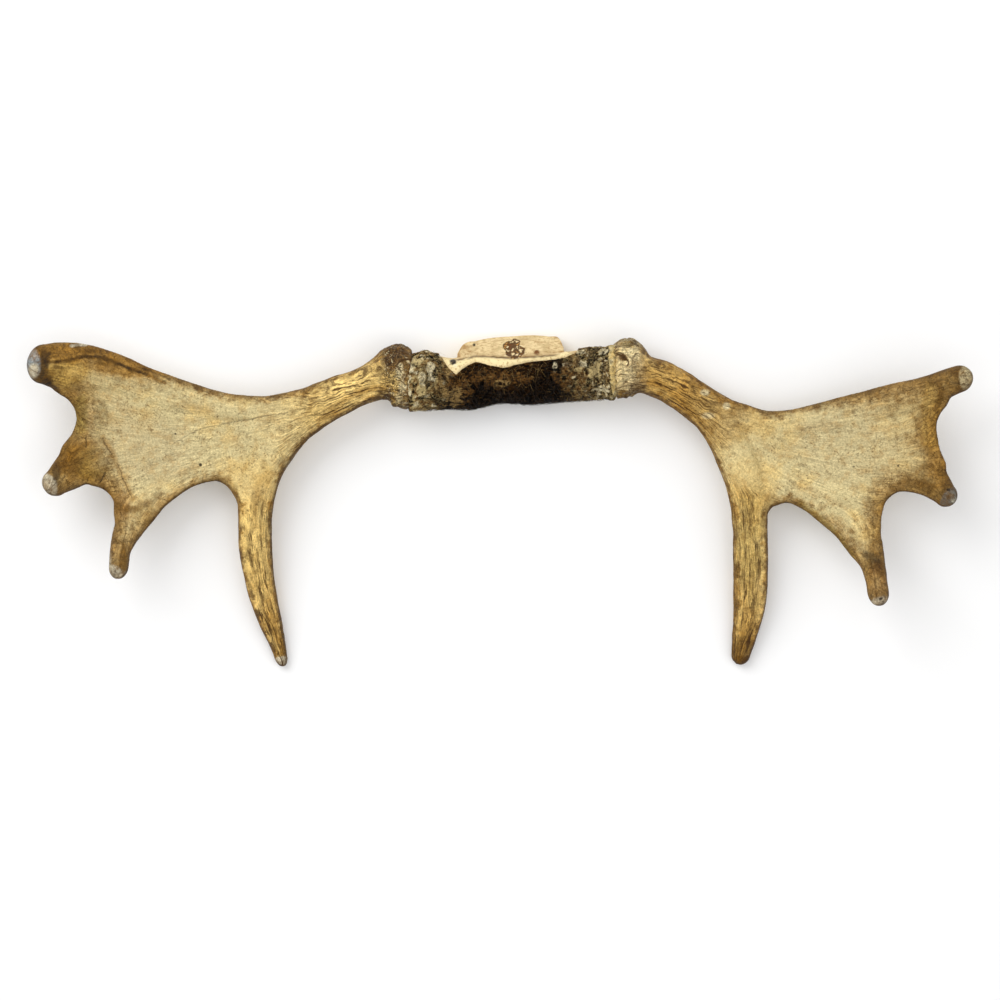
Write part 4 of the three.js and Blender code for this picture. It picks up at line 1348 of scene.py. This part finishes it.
# Tips: the far end's x and y, how far the worn cap reaches, its shade, how dark the band behind it is.
LEFT_TIPS = [
    (-474, 12, 19, "tip_blue", 0.9), (-459, -114, 18, "tip_pale", 0.4), (-384, -203, 14, "tip_pale", 0.1),
    (-218, -292, 9, "tip_pale", 0.2),
]
RIGHT_TIPS = [
    (474, -2, 18, "cream", 0.5), (455, -128, 17, "tip_grey", 0.5), (377, -232, 12, "tip_pale", 0.2),
    (241, -290, 8, "brown", 0.4),
]
# Stains, and on the left two patches of painted shade beside tips: x, y, radius, stretch, shade, amount.
LEFT_STAINS_AND_SHADE = [
    (-428, 2, 18, (1.3, 0.9), "gold", 0.75), (-432, 22, 14, (1.6, 0.5), "brown", 0.5),
    (-420, 22, 24, (2.0, 0.5), "ochre", 0.6), (-370, 8, 26, (1.6, 0.45), "ochre", 0.7),
    (-413, -85, 27, (1.1, 0.8), "ochre", 0.8), (-404, -88, 20, (1.1, 1.0), "olive", 0.45),
    (-428, -88, 14, (1.1, 1.0), "brown", 0.6), (-418, -40, 14, (0.6, 1.6), "olive", 0.7),
    (-398, -45, 14, (0.6, 1.6), "olive", 0.4), (-352, -75, 50, (1.1, 0.7), "grey", 0.55),
    (-388, -40, 30, (0.9, 0.8), "grey", 0.4), (-376, -130, 14, (0.6, 1.1), "red", 0.4),
    # (-374, -182) brown is painted shade down the right side of the bent lower point's tip.
    (-374, -182, 8, (0.5, 2.4), "brown", 0.8), (-451, -7, 7, (1.1, 1.0), "dark", 0.95),
    (-462, 3, 8, (0.8, 1.0), "tip_pale", 0.95), (-452, 18, 5, (0.8, 1.8), "dark", 0.6),
    # (-441, -98) dark is painted shade beside the middle point's worn tip.
    (-441, -98, 7, (0.6, 1.8), "dark", 0.7), (-391, -186, 9, (0.6, 1.7), "tip_pale", 0.6),
    (-104, 20, 13, (1.1, 1.0), "umber", 0.8), (-230, -235, 40, (0.8, 1.6), "ochre", 0.2),
    (-408, 23, 9, (1.4, 0.4), "brown", 0.8), (-392, 13, 10, (1.6, 0.5), "brown", 0.5),
    (-100, 4, 5, (0.8, 1.6), "cream", 0.8), (-98, -12, 4.5, (0.8, 1.5), "cream", 0.7),
    (-101, -23, 4.5, (0.9, 1.3), "cream", 0.6),
]
RIGHT_STAINS = [
    (440, -8, 22, (1.5, 0.8), "brown", 0.5), (375, -16, 22, (2.0, 0.5), "brown", 0.3),
    (428, -45, 20, (0.5, 1.8), "gold", 0.5), (432, -104, 22, (1.1, 0.8), "brown", 0.5),
    (372, -186, 14, (0.8, 1.1), "brown", 0.55), (350, -70, 50, (1.3, 0.8), "grey", 0.35),
    (268, -135, 20, (0.7, 1.0), "brown", 0.4), (373, -190, 7, (1.0, 1.0), "dark", 0.5),
    (250, -170, 30, (0.5, 2.0), "olive", 0.35), (247, -240, 38, (0.9, 1.5), "ochre", 0.25),
    (245, -276, 14, (1.2, 1.2), "brown", 0.6), (375, -205, 14, (0.8, 1.4), "red", 0.35),
    (436, -70, 24, (0.5, 1.8), "ochre", 0.4), (453, -126, 5, (1.2, 0.7), "tip_white", 0.7),
    (127, 2, 22, (0.8, 1.2), "lip", 0.5), (122, 17, 4.5, (1.2, 1.0), "umber", 0.95),
    (124, 16, 2.5, (1.0, 1.0), "dark", 0.8), (128, 31, 6, (1.4, 0.7), "olive", 0.7),
    (133, 33, 5, (1.0, 0.6), "dark", 0.6), (123, -19, 5, (1.2, 0.9), "gold", 0.95),
    (165, -10, 40, (1.2, 0.7), "ochre", 0.5), (208, -34, 40, (1.1, 1.0), "ochre", 0.45),
    (205, -17.5, 4, (1.3, 0.9), "cream", 1.0), (226, -31, 4, (1.0, 1.0), "cream", 1.0),
    (208, -41, 4.5, (1.6, 0.8), "cream", 0.6),
]
# Colour laid along a path, on faces turned up: path in x and y, half width, shade, amount.
LEFT_SEAMS = [
    ([(-448, 12), (-432, 13), (-413, 17.5), (-393, 16), (-373, 7.5), (-353, 0), (-335, -8)],
     3.0, "brown", 0.85),
    ([(-440, 12), (-426, 15), (-413, 17.5), (-393, 16), (-373, 7.5), (-353, 0)], 1.8, "dark", 0.8),
    ([(-396, -62), (-386, -80), (-379, -98), (-366, -124)], 4.0, "ochre", 0.4),
    ([(-400, -104), (-385, -128), (-368, -135), (-352, -128)], 5.0, "brown", 0.6),
    ([(-436, -92), (-425, -80), (-412, -68)], 4.0, "brown", 0.6),
    ([(-447, 20), (-450, 8), (-449, -8), (-440, -16)], 3.5, "dark", 0.8),
    ([(-426, 28.5), (-412, 29.5)], 2.0, "tip_white", 0.8),
]
RIGHT_SEAMS = [
    ([(436, -8), (438, -22), (434, -34)], 5.0, "brown", 0.7),
    ([(392, -112), (410, -108), (430, -112)], 6.0, "brown", 0.6),
    ([(300, -128), (325, -148), (350, -180)], 5.0, "olive", 0.5),
    ([(362, -178), (376, -186)], 5.0, "dark", 0.5),
]
# Cracks, pits, and faint dark lines along the left palm's grooves: start, end, half width, strength.
LEFT_MARKS = [
    ((-397, -64), (-387, -79), 1.2, 0.5), ((-382, -88), (-376, -104), 0.8, 0.45),
    ((-376, -104), (-367, -123), 0.9, 0.5), ((-413, -63), (-412, -72), 1.1, 0.5),
    ((-394, -98), (-399, -107), 1.3, 0.7), ((-325, -59), (-324.5, -59), 1.6, 0.9),
    ((-300, -90), (-299.5, -90), 1.9, 0.95), ((-326, -68), (-300, -54), 1.0, 0.3),
    ((-300, -54), (-262, -46), 1.0, 0.35), ((-262, -46), (-212, -38), 0.9, 0.4),
    ((-362, 8), (-330, -4), 1.3, 0.4),
]
RIGHT_MARKS = [
    ((353, -92), (353.5, -92), 1.4, 0.6), ((397, -91), (397.5, -91), 1.4, 0.8),
    ((445, -115), (446, -115), 2.0, 0.8), ((376, -222), (377, -222), 2.0, 0.8),
    ((437, -5), (470, -14), 1.4, 0.3), ((353, -36), (354, -38), 2.2, 0.4),
]


# ---------------------------------------------------------------- operators


def dress(obj, material, slot, *nodes):
    """Finishes a piece: its material, smooth faces, and its place in the shared frame."""
    obj.data.materials.clear()
    obj.data.materials.append(material)
    obj.data.shade_smooth()
    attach(obj, "root")
    if nodes:
        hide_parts(*nodes)


class RACK_OT_antlers(bpy.types.Operator):
    """Build the two antlers"""

    bl_idname = "moose_rack.antlers"
    bl_label = "Build Antlers"

    def execute(self, context):
        settings = context.scene.moose_rack
        palette = palette_of(settings)
        for side, plan, valleys, tips, stains_and_shade, marks in (
            ("left", LEFT, LEFT_VALLEYS, LEFT_TIPS, (LEFT_STAINS_AND_SHADE, LEFT_SEAMS), LEFT_MARKS),
            ("right", RIGHT, RIGHT_VALLEYS, RIGHT_TIPS, (RIGHT_STAINS, RIGHT_SEAMS), RIGHT_MARKS),
        ):
            obj, field = build_antler(side + "_antler", plan, settings, valleys)
            paint_antler(plan, obj.data, field, palette, tips, *stains_and_shade)
            material = antler_material(side + "_antler", palette, marks)
            dress(obj, material, "antler", *(side + part for part in ("_beam", "_palm", "_brow_tine")))
        return {"FINISHED"}


class RACK_OT_skull(bpy.types.Operator):
    """Build the sawn plate of the skull"""

    bl_idname = "moose_rack.skull"
    bl_label = "Build Skull Plate"

    def execute(self, context):
        palette = palette_of(context.scene.moose_rack)
        dress(build_skull(palette), bone_material(palette), "bone", "skull_plate")
        return {"FINISHED"}


class RACK_OT_hide(bpy.types.Operator):
    """Build the dried hide and its hair"""

    bl_idname = "moose_rack.hide"
    bl_label = "Build Hide and Hair"

    def execute(self, context):
        settings = context.scene.moose_rack
        palette = palette_of(settings)
        dress(build_hide(settings, palette), hide_material(palette), "hide", "hide")
        dress(build_hair(settings, palette), hair_material(), "hide")
        return {"FINISHED"}


# The camera looks straight down from CAMERA_HEIGHT above the reference height, where the picture is
# PICTURE_WIDTH wide.
CAMERA_HEIGHT = 5.0
CAMERA_AT = (0.0, -0.125)
REFERENCE_HEIGHT = 0.045
PICTURE_WIDTH = 1.0
SENSOR = 0.036
CLIP_END = 40
# Lamps: name, place, side of the square, watts.
LAMPS = [
    ("key_lamp", (-1.4, 1.4, 2.0), 2.0, 40), ("fill_lamp", (1.6, -0.8, 2.2), 2.2, 12),
    ("top_lamp", (0.0, -0.1, 3.2), 2.6, 19),
]
LAMPS_AIM = (0, -0.1, 0)
SKY_STRENGTH = 0.66
FLOOR_REACH = 12.0


class RACK_OT_stage(bpy.types.Operator):
    """Lay the ground, set the lamps and the camera"""

    bl_idname = "moose_rack.stage"
    bl_label = "Build Stage"

    def execute(self, context):
        scene = context.scene
        settings = scene.moose_rack
        corners = [(x * FLOOR_REACH, y * FLOOR_REACH, 0) for x, y in ((-1, -1), (1, -1), (1, 1), (-1, 1))]
        floor = mesh_object("floor", np.array(corners) / MM, [(0, 1, 2, 3)])
        n = Nodes("plain_ground")
        floor.data.materials.append(n.finish((*settings.floor_colour, 1), 0.9))
        for name, place, size, power in LAMPS:
            lamp = bpy.data.lights.new(name, "AREA")
            lamp.size = size
            lamp.energy = power
            obj = bpy.data.objects.new(name, lamp)
            obj.location = place
            aim = np.array(LAMPS_AIM) - np.array(place)
            obj.rotation_euler = (
                math.atan2(math.hypot(aim[0], aim[1]), -aim[2]),
                0,
                math.atan2(aim[1], aim[0]) - math.pi / 2,
            )
            scene.collection.objects.link(obj)
        world = bpy.data.worlds.new("studio")
        world.use_nodes = True
        background = world.node_tree.nodes["Background"]
        background.inputs["Color"].default_value = (1, 1, 1, 1)
        background.inputs["Strength"].default_value = SKY_STRENGTH
        scene.world = world
        scene.view_settings.view_transform = "Standard"
        camera = bpy.data.cameras.new("camera")
        camera.sensor_width = SENSOR / MM
        camera.lens = SENSOR / MM * CAMERA_HEIGHT / PICTURE_WIDTH
        camera.clip_end = CLIP_END
        eye = bpy.data.objects.new("camera", camera)
        eye.location = (*CAMERA_AT, REFERENCE_HEIGHT + CAMERA_HEIGHT)
        scene.collection.objects.link(eye)
        scene.camera = eye
        return {"FINISHED"}


class RACK_PT_panel(bpy.types.Panel):
    """The sidebar panel: sizes, colours and the build buttons"""

    bl_idname = "RACK_PT_panel"
    bl_label = "Moose Rack"
    bl_space_type = "VIEW_3D"
    bl_region_type = "UI"
    bl_category = "Moose Rack"

    def draw(self, context):
        settings = context.scene.moose_rack
        for key in MooseRackSettings.__annotations__:
            self.layout.prop(settings, key)
        for operator in OPERATORS:
            self.layout.operator(operator.bl_idname)


OPERATORS = (RACK_OT_antlers, RACK_OT_skull, RACK_OT_hide, RACK_OT_stage)
CLASSES = (MooseRackSettings, *OPERATORS, RACK_PT_panel)


def register():
    for cls in CLASSES:
        bpy.utils.register_class(cls)
    bpy.types.Scene.moose_rack = PointerProperty(type=MooseRackSettings)


def unregister():
    del bpy.types.Scene.moose_rack
    for cls in reversed(CLASSES):
        bpy.utils.unregister_class(cls)


def main():
    """Registers the add-on and builds the rack piece by piece."""
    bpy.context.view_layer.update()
    register()
    bpy.ops.moose_rack.antlers()
    bpy.ops.moose_rack.skull()
    bpy.ops.moose_rack.hide()
    bpy.ops.moose_rack.stage()


if __name__ == "__main__":
    main()
